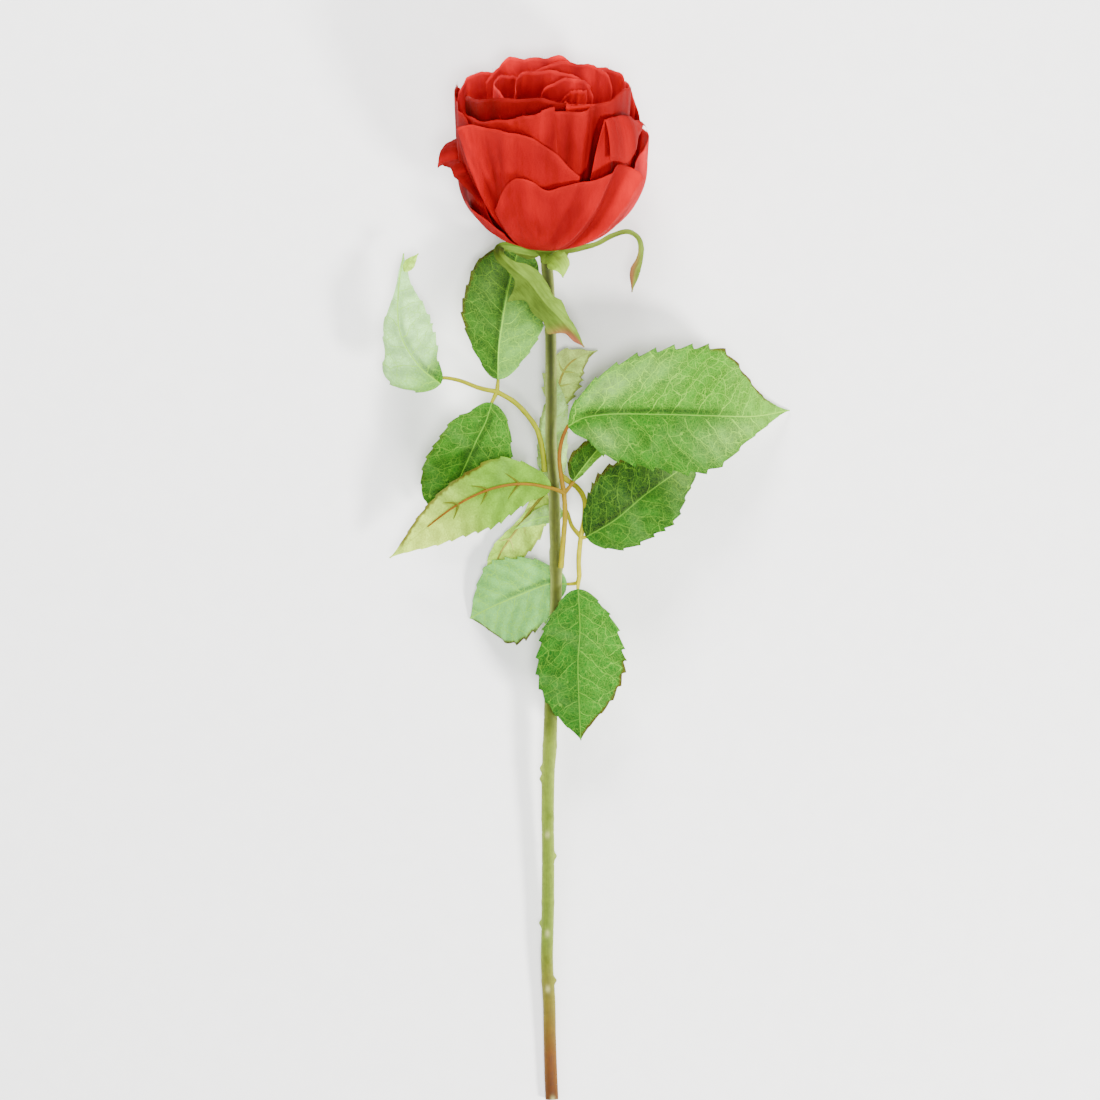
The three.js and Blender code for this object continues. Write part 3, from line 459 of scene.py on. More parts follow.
def plastic_material(name, clearness):
    """Moulded plastic with mottled colour, fine scratches along it and soft mould ripples."""
    shader, tint, cloth = piece_shader(name)
    spots = shader.noise(cloth, 0.35, 4.0, 0.6)
    lines = shader.noise(cloth, 1.3, 2.0, 0.5, stretch=(0.12, 1.0, 1.0))
    colour = shader.scaled(tint, shader.times(shader.step(spots, 0.3, 0.75, 0.84, 1.12),
                                              shader.step(lines, 0.3, 0.7, 0.92, 1.06)))
    relief = shader.weighted((lines, 0.3), (spots, 0.6))
    bump = shader("Bump", {"Height": relief, "Distance": PLASTIC_RELIEF, "Strength": 1.0})
    body = shader("BsdfPrincipled", {
        "Base Color": colour, "Roughness": shader.step(spots, 0.3, 0.7, 0.58, 0.76),
        "Normal": bump, "Specular IOR Level": PLASTIC_GLEAM, "Subsurface Weight": clearness,
        "Subsurface Radius": (0.9, 1.0, 0.3), "Subsurface Scale": 0.0012,
    })
    shader("OutputMaterial", {"Surface": body})
    return shader.material


LEAF_FRONT = leaf_material("leaf cloth, printed side", True)
LEAF_BACK = leaf_material("leaf cloth, pale back", False)
SEPAL = sepal_material("sepal cloth")
PETAL = petal_material("petal cloth")
STEM_PLASTIC = plastic_material("stem plastic", 0.1)
STALK_PLASTIC = plastic_material("stalk plastic", 0.05)


# ---------------------------------------------------------------- leaves

# rib: the midrib from the stalk to the tip. left and right: half widths, seen from above, at
# even steps along the rib, and foot: how pointed each half starts. slopes: rise of each half
# per millimetre of width. bow: how much the halves bend down. teeth: how many an edge has, and
# tooth: their depth as a share of the width. hold: where the rib behind the leaf starts.
# under: the pale back is up. tones: screen colours of the left and the right half, which differ
# partly by painted light and shade on the halves. pale: from where to where the colour turns into
# another one. patches: [along, across, reach along, reach across, strength] of pale areas, partly
# wear and partly painted sheen. brown: [side, from, to, strength] of browned edges, 1 being the
# left side. dark: depth of the painted shade in the crease beside the midrib on the left and the
# right. blush: [from, to, strength] of a ruddy tip.
LEAVES = {
    "leaf_a1": dict(
        rib=[(-72.5, 98, 33), (-83, 106.5, 36.5), (-92.5, 122.5, 35), (-94, 142.5, 27),
             (-91.5, 164, 16)],
        left=[12, 17.5, 10.5, 7.8, 4, 1.5, 1], right=[9.3, 15, 16.5, 16.5, 13.2, 7.5, 3.3],
        slopes=(-0.5, 0.15), bow=0.008, teeth=9, hold=0.09, tones=((150, 206, 112), (84, 140, 50)),
        pale=(0.02, 0.32, (204, 250, 182)), brown=[(1, 0.1, 0.6, 0.2)], crease_shade=(0.2, 0.5)),
    "leaf_a2": dict(
        rib=[(-44, 100, 37), (-43.5, 115, 38), (-41.5, 130, 35), (-38.5, 147.5, 24),
             (-32.5, 171, 10)],
        left=[9.7, 16.4, 21, 21.5, 20.5, 19, 12.5], right=[12.4, 17.7, 20.5, 19, 16.5, 14.5, 10.5],
        slopes=(0.22, 0.3), bow=0.009, teeth=10, tooth=0.03,
        tones=((72, 122, 42), (134, 182, 104)), wear_and_sheen_patches=[(0.75, 0.4, 0.25, 0.4, 0.25)],
        brown=[(1, 0.3, 0.95, 0.6)], crease_shade=(0.45, 0.1)),
    "leaf_a3": dict(
        rib=[(-47, 88.5, 36), (-50, 79, 37), (-54.5, 70, 35), (-60, 58, 29), (-74, 29, 16)],
        left=[12, 18.5, 21.5, 21.5, 19, 14, 7.5], right=[10, 15.5, 17.5, 19, 19.5, 17.5, 12.5],
        slopes=(0.28, 0.3), bow=0.01, teeth=10, tooth=0.035, tones=((82, 142, 52), (72, 134, 40)),
        brown=[(-1, 0.3, 0.8, 0.25)], crease_shade=(0.5, 0.35)),
    "leaf_b1": dict(
        rib=[(-9, 76.5, 38), (-2, 80.5, 40), (10, 82.5, 43), (38, 82.5, 43.5), (62, 82, 36),
             (84, 82, 22), (103, 85.5, 0.9)],
        left=[17.5, 28.4, 33.3, 35, 33.8, 21, 7.5], right=[19.5, 25, 28.3, 29.7, 25.5, 12, 4],
        slopes=(0.14, 0.1), bow=0.007, teeth=14, foot=(0.9, 0.5),
        tones=((90, 154, 50), (64, 132, 30)), pale=(0.55, 1.0, (142, 198, 84)),
        brown=[(1, 0.6, 0.86, 0.95)], crease_shade=(0.75, 0.05),
        wear_and_sheen_patches=[(0.17, 0.62, 0.09, 0.3, 0.6), (0.33, 0.7, 0.1, 0.25, 0.3),
                 (0.14, -0.6, 0.1, 0.3, 0.3), (0.68, -0.5, 0.16, 0.4, 0.35)]),
    # Its colour turns paler towards the tip, a painted glow of light through the cloth.
    "leaf_b2": dict(
        rib=[(-17.5, 46, 37), (-30.5, 48, 42), (-45.5, 46, 43.5), (-63.5, 38, 40),
             (-98.5, 11, 18)],
        left=[9.5, 15.5, 18.5, 17, 14, 10, 4.5], right=[9.5, 14.5, 12.5, 11, 9, 6.5, 3],
        slopes=(-0.12, 0.1), bow=0.006, teeth=12, under=True,
        tones=((146, 190, 66), (136, 180, 60)), pale=(0.3, 0.85, (232, 255, 128)),
        brown=[(-1, 0.3, 0.9, 0.8)], crease_shade=(0.1, 0.1)),
    "leaf_b3": dict(
        rib=[(-6.5, 49.5, 31), (-1.5, 56, 33), (5, 64, 33), (19, 78, 27)],
        left=[7, 9, 8.5, 7.5, 6.5, 5, 3], right=[2, 2.5, 3, 3.5, 4, 4, 3],
        slopes=(-0.25, 0.9), bow=0.004, teeth=6, tones=((58, 104, 30), (110, 156, 66)),
        brown=[(1, 0.1, 0.9, 0.5)], crease_shade=(0.3, 0.0)),
    "leaf_c1": dict(
        rib=[(-4, -4.5, 30), (-3, -25, 34.5), (-4, -40, 34.5), (-3.5, -60, 30),
             (-2.5, -80.5, 19)],
        left=[12, 19, 23, 24, 21, 15, 6.5], right=[12.5, 18.5, 20, 21, 19.5, 15, 8],
        slopes=(0.12, 0.16), bow=0.009, teeth=11, tones=((72, 142, 50), (50, 122, 34)),
        brown=[(1, 0.45, 0.95, 0.8)], crease_shade=(0.1, 0.1)),
    "leaf_c2": dict(
        rib=[(0, 21.5, 29), (14.5, 30, 32), (29.5, 42.5, 30.5), (57, 62, 14)],
        left=[16, 21.5, 23.5, 22, 18, 13.5, 7.5], right=[12.5, 17, 19, 20.5, 18, 12.5, 8],
        slopes=(0.3, 0.24), bow=0.01, teeth=11, tones=((46, 90, 28), (60, 118, 34)),
        wear_and_sheen_patches=[(0.85, -0.2, 0.16, 0.8, 0.4)],
        brown=[(1, 0.2, 0.6, 0.5)], crease_shade=(0.6, 0.1)),
    "leaf_c3": dict(
        rib=[(-11.5, 34, 17), (-18.5, 32, 17.5), (-24, 31, 17), (-30, 28.5, 16.5),
             (-35.5, 25.5, 15.5)],
        left=[4, 3.5, 3.5, 3.5, 3, 2, 1], right=[6.5, 6, 5.5, 4.5, 3, 2, 1],
        slopes=(-0.1, 0.3), bow=0.01, teeth=5, tones=((176, 216, 138), (182, 220, 144)),
        brown=[(-1, 0.2, 0.9, 0.4)], crease_shade=(0.1, 0.1)),
    "leaf_c4": dict(
        rib=[(-9.5, -2, 15.5), (-18, -2, 16.5), (-33, -7.5, 17), (-48, -14, 10),
             (-58.5, -19.5, 0.9)],
        left=[13, 16.5, 19, 21.5, 22.5, 19.5, 9.5], right=[9, 16, 19, 21, 20, 14, 7],
        slopes=(0.12, -0.05), bow=0.007, teeth=9, tones=((158, 222, 142), (152, 216, 134)),
        brown=[(1, 0.4, 0.95, 0.9)], crease_shade=(0.15, 0.6)),
    # Its tones are painted brighter than the cloth: a painted glow of light through it, and
    # painted light over the shade it lies in.
    "leaf_d1": dict(
        rib=[(-16.5, 83.5, 8.5), (-14, 96, 12.5), (-10, 106.5, 14), (-3.5, 112, 12),
             (6, 115.5, 7)],
        left=[4.5, 7.5, 9, 9.5, 8.5, 5, 1.5], right=[6.5, 9, 10.5, 11, 9.5, 6.5, 2.5],
        slopes=(-0.15, 0.05), bow=0.008, teeth=7, tooth=0.15, under=True,
        tones=((232, 255, 160), (228, 255, 154)), brown=[(-1, 0.2, 0.95, 0.6)], crease_shade=(0.1, 0.1)),
    "leaf_d2": dict(
        rib=[(-17, 49, 17.5), (-16.5, 62.5, 20), (-16.5, 77.5, 19.5), (-14.5, 101, 15)],
        left=[7, 8, 8, 7.5, 6.5, 5, 2.5], right=[6.5, 7, 7.5, 7.5, 7.5, 6.5, 3.5],
        slopes=(-0.2, -0.25), bow=0.01, teeth=8, tones=((206, 238, 166), (210, 242, 170)),
        brown=[(1, 0.2, 0.9, 0.6)], crease_shade=(0.2, 0.2)),
    # Its tones are painted brighter than the cloth, a painted glow of light through it.
    "leaf_d3": dict(
        rib=[(-20, 44, 16), (-27, 36, 11.5), (-34, 26.5, 9.5), (-39, 19.5, 8.5),
             (-44, 11.5, 7), (-49, -7, 2.5)],
        left=[8, 11, 12.5, 12, 11, 9, 5.5], right=[3.5, 2, 2.5, 4, 5, 4.5, 3],
        slopes=(-0.12, -0.35), bow=0.006, teeth=8, under=True,
        tones=((222, 255, 124), (216, 255, 118)), brown=[(1, 0.3, 0.9, 0.4)], crease_shade=(0.1, 0.1)),
}

TOOTH_PEAK_AT = 0.75
TOOTH_DEPTH = 0.055
TOOTH_LEAD = 0.16
LEAST_HALF_WIDTH = 0.35
ROUND_FOOT = (0.5, 0.5)
ROWS_PER_TOOTH = 12
LEAF_COLUMNS = 45
VEINS_PER_TOOTH = 0.72
VEIN_SLANT = 0.62
VEIN_CURVE = 0.008
QUILT_HEIGHT = 0.4
LEAF_BACK_TINT = srgb(178, 208, 122)
LEAF_FRONT_TINT = srgb(86, 140, 60)
BROWN = srgb(112, 48, 30)
BLUSH = srgb(180, 118, 96)
# Green of pale areas on leaves, partly wear and partly painted sheen.
PATCH_WEAR_AND_SHEEN = srgb(172, 206, 140)
BROWN_REACH = 2.3
MIDRIB_CREASE_AT = 1.7
MIDRIB_CREASE_WIDTH = 1.0


def half_width(leaf, v, t):
    """Width of the half that v lies in, the left one above 0, at t along the leaf."""
    halves = []
    for widths, foot in zip((leaf["left"], leaf["right"]), leaf.get("foot", ROUND_FOOT)):
        first_step = 1 / (len(widths) + 1)
        start = widths[0] * np.clip(t / first_step, 0, 1) ** foot
        halves.append(np.where(t < first_step, start, along([0, *widths, 0], t)))
    return np.maximum(LEAST_HALF_WIDTH, np.where(v > 0, *halves))


def leaf_surface(leaf):
    """Places on the leaf's middle surface: t along the rib, v from -1, right, to 1, left."""
    rib = leaf.setdefault("path", Path(leaf["rib"]))

    def place(t, v):
        t, v = np.broadcast_arrays(np.asarray(t, float), np.asarray(v, float))
        heading = rib.heading(t)
        flat = np.stack([-heading[..., 1], heading[..., 0], np.zeros_like(t)], axis=-1)
        across = np.abs(v) * half_width(leaf, v, t)
        slope = np.where(v > 0, *leaf["slopes"])
        point = rib.at(t) + unit(flat) * (np.sign(v) * across)[..., None]
        point[..., 2] += across * (slope - leaf["bow"] * across)
        return point

    return place


def leaf_columns(count):
    """Places across a leaf from -1 to 1, closer together near its edges."""
    even = np.linspace(-1, 1, count)
    return 0.5 * even + 0.5 * np.sin(even * math.pi / 2)


def leaf_grid(leaf):
    """The leaf's grid with its teeth, its quilted veins and a gently waved edge."""
    surface = leaf_surface(leaf)
    teeth = leaf["teeth"]
    t = np.linspace(0, 1, teeth * ROWS_PER_TOOTH + 1)[:, None]
    v = leaf_columns(LEAF_COLUMNS)[None, :]
    phase = (t * teeth) % 1
    tooth = np.where(phase < TOOTH_PEAK_AT, phase / TOOTH_PEAK_AT,
                     (1 - phase) / (1 - TOOTH_PEAK_AT)) ** 1.4
    closed = smooth_step(0, 0.06, t) * smooth_step(1, 0.94, t)
    near_edge = np.abs(v) ** 7
    depth = leaf.get("tooth", TOOTH_DEPTH)
    reach = 1 + near_edge * closed * depth * (1.5 * tooth - 1)
    shifted = t + near_edge * closed * tooth * TOOTH_LEAD / teeth
    points = surface(np.clip(shifted, 0, 1), v * reach)
    side = np.sign(v) + (v == 0)
    width = half_width(leaf, v, t)
    across = np.abs(v) * width
    length = leaf["path"].length
    pitch = length / (teeth * VEINS_PER_TOOTH)
    slant = t * length - VEIN_SLANT * across - VEIN_CURVE * across ** 2 + side * 0.25 * pitch
    quilt = np.abs(np.sin(math.pi * slant / pitch)) ** 0.8
    fade = np.clip(across / 4, 0, 1) * np.clip((width - across) / 3 + 0.3, 0, 1)
    wave = ripples(t * side, teeth * 0.45) * np.abs(v) ** 3 * np.minimum(width * 0.05, 0.9)
    points[..., 2] += (quilt * QUILT_HEIGHT - QUILT_HEIGHT / 2) * fade * closed + wave * closed
    cloth = np.stack(np.broadcast_arrays(t * length, side * across), axis=-1)
    veins = np.stack(np.broadcast_arrays(slant / pitch, np.abs(v)), axis=-1)
    return points, {"cloth": cloth, "veins": veins}


def leaf_tint(leaf, across):
    """Colours of the upper side, across being the distance to the left of the midrib."""
    rows, columns = across.shape
    t = np.linspace(0, 1, rows)[:, None, None]
    v = leaf_columns(columns)[None, :, None]
    side = np.sign(v)
    # The left and right tones differ partly by painted light and shade on the two halves.
    left, right = (srgb(*tones) for tones in leaf["tones"])
    tint = np.where(v > 0, left, right) * np.ones((rows, 1, 1))
    if "pale" in leaf:
        start, end, levels = leaf["pale"]
        tint = tint + (srgb(*levels) - tint) * smooth_step(start, end, t)
    # Pale areas, partly wear and partly painted sheen.
    for at, at_v, reach, reach_v, strength in leaf.get("wear_and_sheen_patches", []):
        near = np.exp(-((t - at) / reach) ** 2 - ((v - at_v) / reach_v) ** 2)
        tint = tint + (PATCH_WEAR_AND_SHEEN - tint) * strength * near
    distance = np.abs(across)[..., None]
    inset = distance * (1 / np.maximum(np.abs(v), 0.02) - 1)
    # Painted shade in the crease beside the midrib, with a broader, fainter painted shade beside
    # it.
    crease = np.exp(-((distance - MIDRIB_CREASE_AT) / MIDRIB_CREASE_WIDTH) ** 2)
    crease = crease + 0.35 * np.exp(-(distance / (4 * MIDRIB_CREASE_WIDTH)) ** 2)
    crease = np.minimum(crease, 1) * smooth_step(0.02, 0.12, t) * smooth_step(0.8, 0.45, t)
    for wanted, depth in zip((1, -1), leaf.get("crease_shade", (0, 0))):
        tint = tint * (1 - depth * crease * (side == wanted))
    for wanted, start, end, strength in leaf.get("brown", []):
        span = smooth_step(start - 0.1, start + 0.04, t) * smooth_step(end + 0.08, end - 0.04, t)
        rough = BROWN_REACH * (1 + 0.4 * ripples(t, 22))
        edge = smooth_step(rough, 0.5 * rough, inset) * (side == wanted)
        tint = tint + (BROWN - tint) * edge * span * strength
    if "blush" in leaf:
        start, end, strength = leaf["blush"]
        ruddy = smooth_step(start, end, t + 0.06 * np.maximum(-v, 0)) * strength
        tint = tint + (BLUSH - tint) * ruddy * smooth_step(0.7, -0.3, v)
    return tint


def make_leaf(piece_name, leaf, node):
    grid, uvs = leaf_grid(leaf)
    upper = leaf_tint(leaf, uvs["cloth"][..., 1])
    is_under = leaf.get("under", False)
    back = LEAF_FRONT_TINT if is_under else LEAF_BACK_TINT
    materials = (LEAF_BACK, LEAF_FRONT) if is_under else (LEAF_FRONT, LEAF_BACK)
    tints = (upper, np.ones_like(upper) * back)
    make_blade(piece_name, grid, LEAF_THICKNESS, uvs, tints, materials, node)


for name, leaf in LEAVES.items():
    make_leaf(name + "_cloth", leaf, name)


# ---------------------------------------------------------------- stalks, ribs and barbs

# main: the stalk itself, from the stem outwards. branches: which point of main each branch
# leaves from, and its further points up to the foot of its leaf. tones: colours at the stem
# and away from it. barb: the colour of its barbs.
STALKS = {
    "stalk_a": dict(
        main=[(-20.9, 54, 27), (-21.4, 62, 27.6), (-22.6, 69, 28.6), (-25, 76, 30.4),
              (-29.5, 82.5, 32.8), (-36, 89, 34.6), (-44.5, 94, 35.2)],
        branches={"leaf_a1": [-1, (-53, 95.8, 35), (-63, 99.6, 32.8), (-70, 101, 31.4)],
                  "leaf_a2": [-1], "leaf_a3": [-1]},
        tones=((150, 160, 10), (172, 172, 6))),
    "stalk_b": dict(
        main=[(-12.5, 6, 28), (-11.9, 13, 28.8), (-11.2, 22, 30), (-10.5, 33, 31.8),
              (-11, 43.5, 33.4)],
        branches={"leaf_b1": [-1, (-12.5, 52.5, 34.6), (-13.3, 61.5, 35.4), (-12, 70, 36)],
                  "leaf_b2": [-1, (-14.5, 45, 36.5)], "leaf_b3": [-1, (-8.6, 46, 30.8)]},
        tones=((172, 168, 26), (150, 108, 34))),
    "stalk_c": dict(
        main=[(-15.2, 61, 23), (-14.6, 55, 22.8), (-10, 50.5, 22.6), (-4.5, 46.5, 23),
              (-1, 41, 24), (-0.6, 32.5, 25.4), (-2.5, 21.5, 26.6), (-3.6, 10, 27),
              (-3.3, 2, 27.2)],
        branches={"leaf_c1": [-1], "leaf_c2": [6], "leaf_c3": [6, (-7, 27, 20.5)],
                  "leaf_c4": [-1, (-3.9, -0.6, 22), (-4.6, -1.6, 16.6)]},
        tones=((150, 152, 24), (196, 190, 26))),
    "stalk_d": dict(
        main=[(-15.8, 38, 21.9), (-16.4, 42, 21.7), (-17.8, 45, 19)],
        branches={"leaf_d1": [-1, (-20.5, 52, 14), (-20.5, 64, 10), (-18.4, 76, 7.6)],
                  "leaf_d2": [-1], "leaf_d3": [-1]},
        tones=((140, 142, 50), (196, 190, 104)), barb=(200, 214, 116)),
}
BARB_TONE = (126, 132, 38)
FAR_FROM_STEM = 60


def behind_leaf(leaf, t, v, radius):
    """Places on the back of a leaf for a rib of that radius, sunk a little into the cloth."""
    surface = leaf_surface(leaf)
    step = 0.02
    t, v = np.asarray(t, float), np.asarray(v, float)
    ahead = surface(np.minimum(t + step, 1), v) - surface(np.maximum(t - step, 0), v)
    normal = unit(np.cross(ahead, surface(t, v + step) - surface(t, v - step)))
    is_up = 1.0 if leaf.get("under") else -1.0
    normal = normal * np.where(normal[..., 2:] * is_up < 0, -1, 1)
    return surface(t, v) + normal * (LEAF_THICKNESS / 2 - RIB_SINK + np.asarray(radius))[..., None]


def rib_radius(t):
    return RIB_START_RADIUS + (RIB_END_RADIUS - RIB_START_RADIUS) * np.clip(t / RIB_REACH, 0, 1)


def branch_parts(leaf, branch):
    """A branch with the rib and the pairs of barbs that carry one leaf."""
    t = np.linspace(leaf.get("hold", RIB_START), RIB_REACH, 9)
    on_rib = behind_leaf(leaf, t, np.zeros_like(t), rib_radius(t))
    foot_point = on_rib[0] + unit(on_rib[0] - on_rib[1]) * FOOT_LENGTH
    path = Path([*branch, foot_point, *on_rib])
    foot = path.share[np.argmin(np.linalg.norm(path.points - foot_point, axis=1))]

    def radius_at(share):
        on_branch = STALK_RADIUS + (RIB_START_RADIUS - STALK_RADIUS) * share / foot
        onward = rib_radius((share - foot) / (1 - foot) * RIB_REACH)
        return np.where(share < foot, on_branch, onward) * smooth_step(1.01, 0.97, share)

    barbs = []
    for station in BARB_STATIONS:
        for side in (-1, 1):
            reach = min(0.8, BARB_LENGTH / float(half_width(leaf, side, np.array(station))))
            spine = behind_leaf(leaf, station + BARB_LEAD * BARB_PLACES ** 1.15,
                                side * reach * BARB_PLACES, BARB_RADIUS * (1 - 0.6 * BARB_PLACES))
            barbs.append(tube_parts(Path(spine), lambda k: BARB_RADIUS * (1 - 0.85 * k ** 1.5),
                                    8, 10))
    return [tube_parts(path, radius_at, 12, 90), *barbs]


def stalk_swell(t, turn, centre):
    """Slight lumps and a mould line on a stalk."""
    line = 0.06 * np.exp(-((np.cos(turn) - 1) / 0.02) ** 2)
    return line + 0.04 * np.sin(t * 40 + 2 * turn)


def make_stalk(name, stalk):
    main = stalk["main"]
    parts = [tube_parts(Path(main), lambda t: STALK_RADIUS * (1.12 - 0.12 * t), 16, 120,
                        stalk_swell)]
    for leaf_name, (start, *onward) in stalk["branches"].items():
        parts.extend(branch_parts(LEAVES[leaf_name], [main[start], *onward]))
    sizes = np.array([len(part[0]) for part in parts])
    is_barb = np.repeat(sizes == sizes.min(), sizes)[:, None]
    solid = join_parts(parts)
    points = solid[0]
    far = np.clip(np.linalg.norm(points - main[0], axis=1) / FAR_FROM_STEM, 0, 1)[:, None]
    near_tone, far_tone = (srgb(*tones) for tones in stalk["tones"])
    tint = near_tone + (far_tone - near_tone) * far
    tint = np.where(is_barb, srgb(*stalk.get("barb", BARB_TONE)), tint)
    tint = tint * (1 + 0.1 * ripples(points[:, 1:2], 0.05) + 0.06 * ripples(points[:, :1], 0.09))
    make_solid(name + "_moulding", solid, STALK_PLASTIC, tint, name)


for name, stalk in STALKS.items():
    make_stalk(name, stalk)


# ---------------------------------------------------------------- stem

def bloom_point(x, d, h):
    """Local places in the bloom: x to the right, d down and away, h along its axis."""
    lean, rise = math.cos(BLOOM_TILT), math.sin(BLOOM_TILT)
    x, d, h = np.broadcast_arrays(*(np.asarray(k, float) for k in (x, d, h)))
    return np.stack([x, h * lean + d * rise, h * rise - d * lean], axis=-1) + BLOOM_BASE


# Path of the stem from the cut end to the neck, and its radius with the sleeve ends on it.
STEM_PATH = [(-17, -262, 3.36), (-17.5, -252, 3.75), (-18, -232, 4.7), (-18.5, -212, 5.8),
             (-19.5, -191.5, 7.2), (-19, -161, 9.4), (-19, -136, 11.5), (-19, -100.5, 14.6),
             (-18, -81.5, 16.3), (-17.5, -60.5, 18.2), (-16.5, -35, 20.5), (-15, -10, 22.8),
             (-15, 10, 24.3), (-15.5, 25, 25.3), (-16, 45, 26.3), (-17.5, 70, 27.3),
             (-17.5, 85, 27.6), (-17.5, 110, 27), (-18, 135, 25.4), (-18.8, 150, 24.6),
             tuple(bloom_point(0, 0, -RECEPTACLE_LENGTH - 3)),
             tuple(bloom_point(0, 0, -RECEPTACLE_LENGTH + 1))]
STEM_RADII = [(0, 3.2), (0.02, 3.2), (0.08, 3.05), (0.137, 3.1), (0.142, 3.3), (0.147, 3.0),
              (0.23, 3.1), (0.236, 3.3), (0.241, 3.1), (0.33, 3.05), (0.336, 3.25), (0.341, 3.1),
              (0.4, 3.2), (0.423, 3.7), (0.43, 3.4), (0.5, 3.3), (0.505, 2.9), (0.57, 2.8),
              (0.625, 2.9), (0.632, 3.3), (0.655, 3.3), (0.66, 2.8), (0.75, 2.75), (0.79, 2.75),
              (0.91, 2.75), (0.916, 3.0), (0.921, 2.75), (0.96, 2.7), (1, 2.9)]
# Thorn stubs and pale scars: [Y in mm, degrees round the stem].
NUBS = [(-95, 180), (-100, 170), (-173, 190), (-139, 0), (-202, 10), (-118, 60), (-191, 75)]
SCARS = [(-128, 95), (-178, 88), (-206, 95), (-262, 80)]
SCAR_TONE = srgb(214, 214, 160)
RING_MARKS = (-69, -85, -95, -127, -143, -176, 88, 58, 4)
STEM_MEAN_RADIUS = 3.05
# Colours along the stem: [Y in mm, the colour facing up, the colour of its flanks]. The flanks
# are painted paler than the top, a painted highlight.
STEM_TONES = [(-262, (108, 70, 34), (140, 100, 52)), (-240, (126, 88, 44), (156, 120, 60)),
              (-215, (130, 120, 50), (162, 154, 80)), (-180, (122, 140, 54), (162, 180, 92)),
              (-110, (130, 148, 60), (170, 186, 98)), (-84, (136, 152, 66), (176, 190, 104)),
              (-72, (108, 122, 44), (160, 172, 92)), (0, (98, 104, 38), (176, 188, 118)),
              (60, (92, 98, 36), (182, 194, 128)), (110, (74, 82, 32), (180, 190, 124)),
              (165, (84, 92, 34), (172, 184, 112))]


def stem_radius(t):
    return np.interp(t, *zip(*STEM_RADII))


def stem_colour(y, column):
    """Colours at places along the stem, from a column of STEM_TONES."""
    colours = np.array([srgb(*tones[column]) for tones in STEM_TONES])
    marks = [tones[0] for tones in STEM_TONES]
    return np.stack([np.interp(y, marks, colours[:, k]) for k in range(3)], axis=1)


def spot(y, turn, place, length, width):
    """1 at a place on the stem, and less away from it."""
    off = np.angle(np.exp(1j * (turn - math.radians(place[1]))))
    return np.exp(-(((y - place[0]) / length) ** 2 + (off * 3 / width) ** 2))


def stem_swell(t, turn, centre):
    """Thorn stubs, ring marks and a mould line along both flanks of the stem."""
    extra = np.zeros((len(centre), turn.shape[1]))
    for place in NUBS:
        extra += 1.3 * spot(centre[:, 1:2], turn, place, 1.6, 1.3)
    for mark in RING_MARKS:
        extra -= 0.14 * np.exp(-((centre[:, 1:2] - mark) / 0.5) ** 2)
    extra += 0.08 * np.exp(-((np.abs(np.cos(turn)) - 1) / 0.01) ** 2)
    return extra + 0.05 * np.sin(t * 70 + 3 * turn)


def make_stem():
    solid = tube_parts(Path(STEM_PATH), stem_radius, 40, 800, stem_swell)
    y = solid[0][:, 1]
    turn = solid[2][:, 1] / STEM_MEAN_RADIUS
    # The stem is painted paler on its flanks than on its top, a painted highlight.
    top, flank_highlight = stem_colour(y, 1), stem_colour(y, 2)
    tint = top + (flank_highlight - top) * np.abs(np.cos(turn))[:, None] ** 2.2
    for place in SCARS:
        tint = tint + (SCAR_TONE - tint) * 0.45 * spot(y, turn, place, 1.8, 1.2)[:, None]
    make_solid("stem_moulding", solid, STEM_PLASTIC, tint, "stem")


make_stem()


# ---------------------------------------------------------------- calyx

SEPAL_THICKNESS = 0.5
SEPAL_GREEN = (140, 160, 76)
RECEPTACLE_GREEN = srgb(128, 148, 66)
SEPAL_BELOW = dict(
    left=[3.5, 4.5, 4.5, 4, 3.5, 2.5, 1.5], right=[3.5, 4.5, 4.5, 4, 3.5, 2.5, 1.5],
    slopes=(0.1, 0.1), bow=0.02, teeth=4, tones=(SEPAL_GREEN, SEPAL_GREEN))
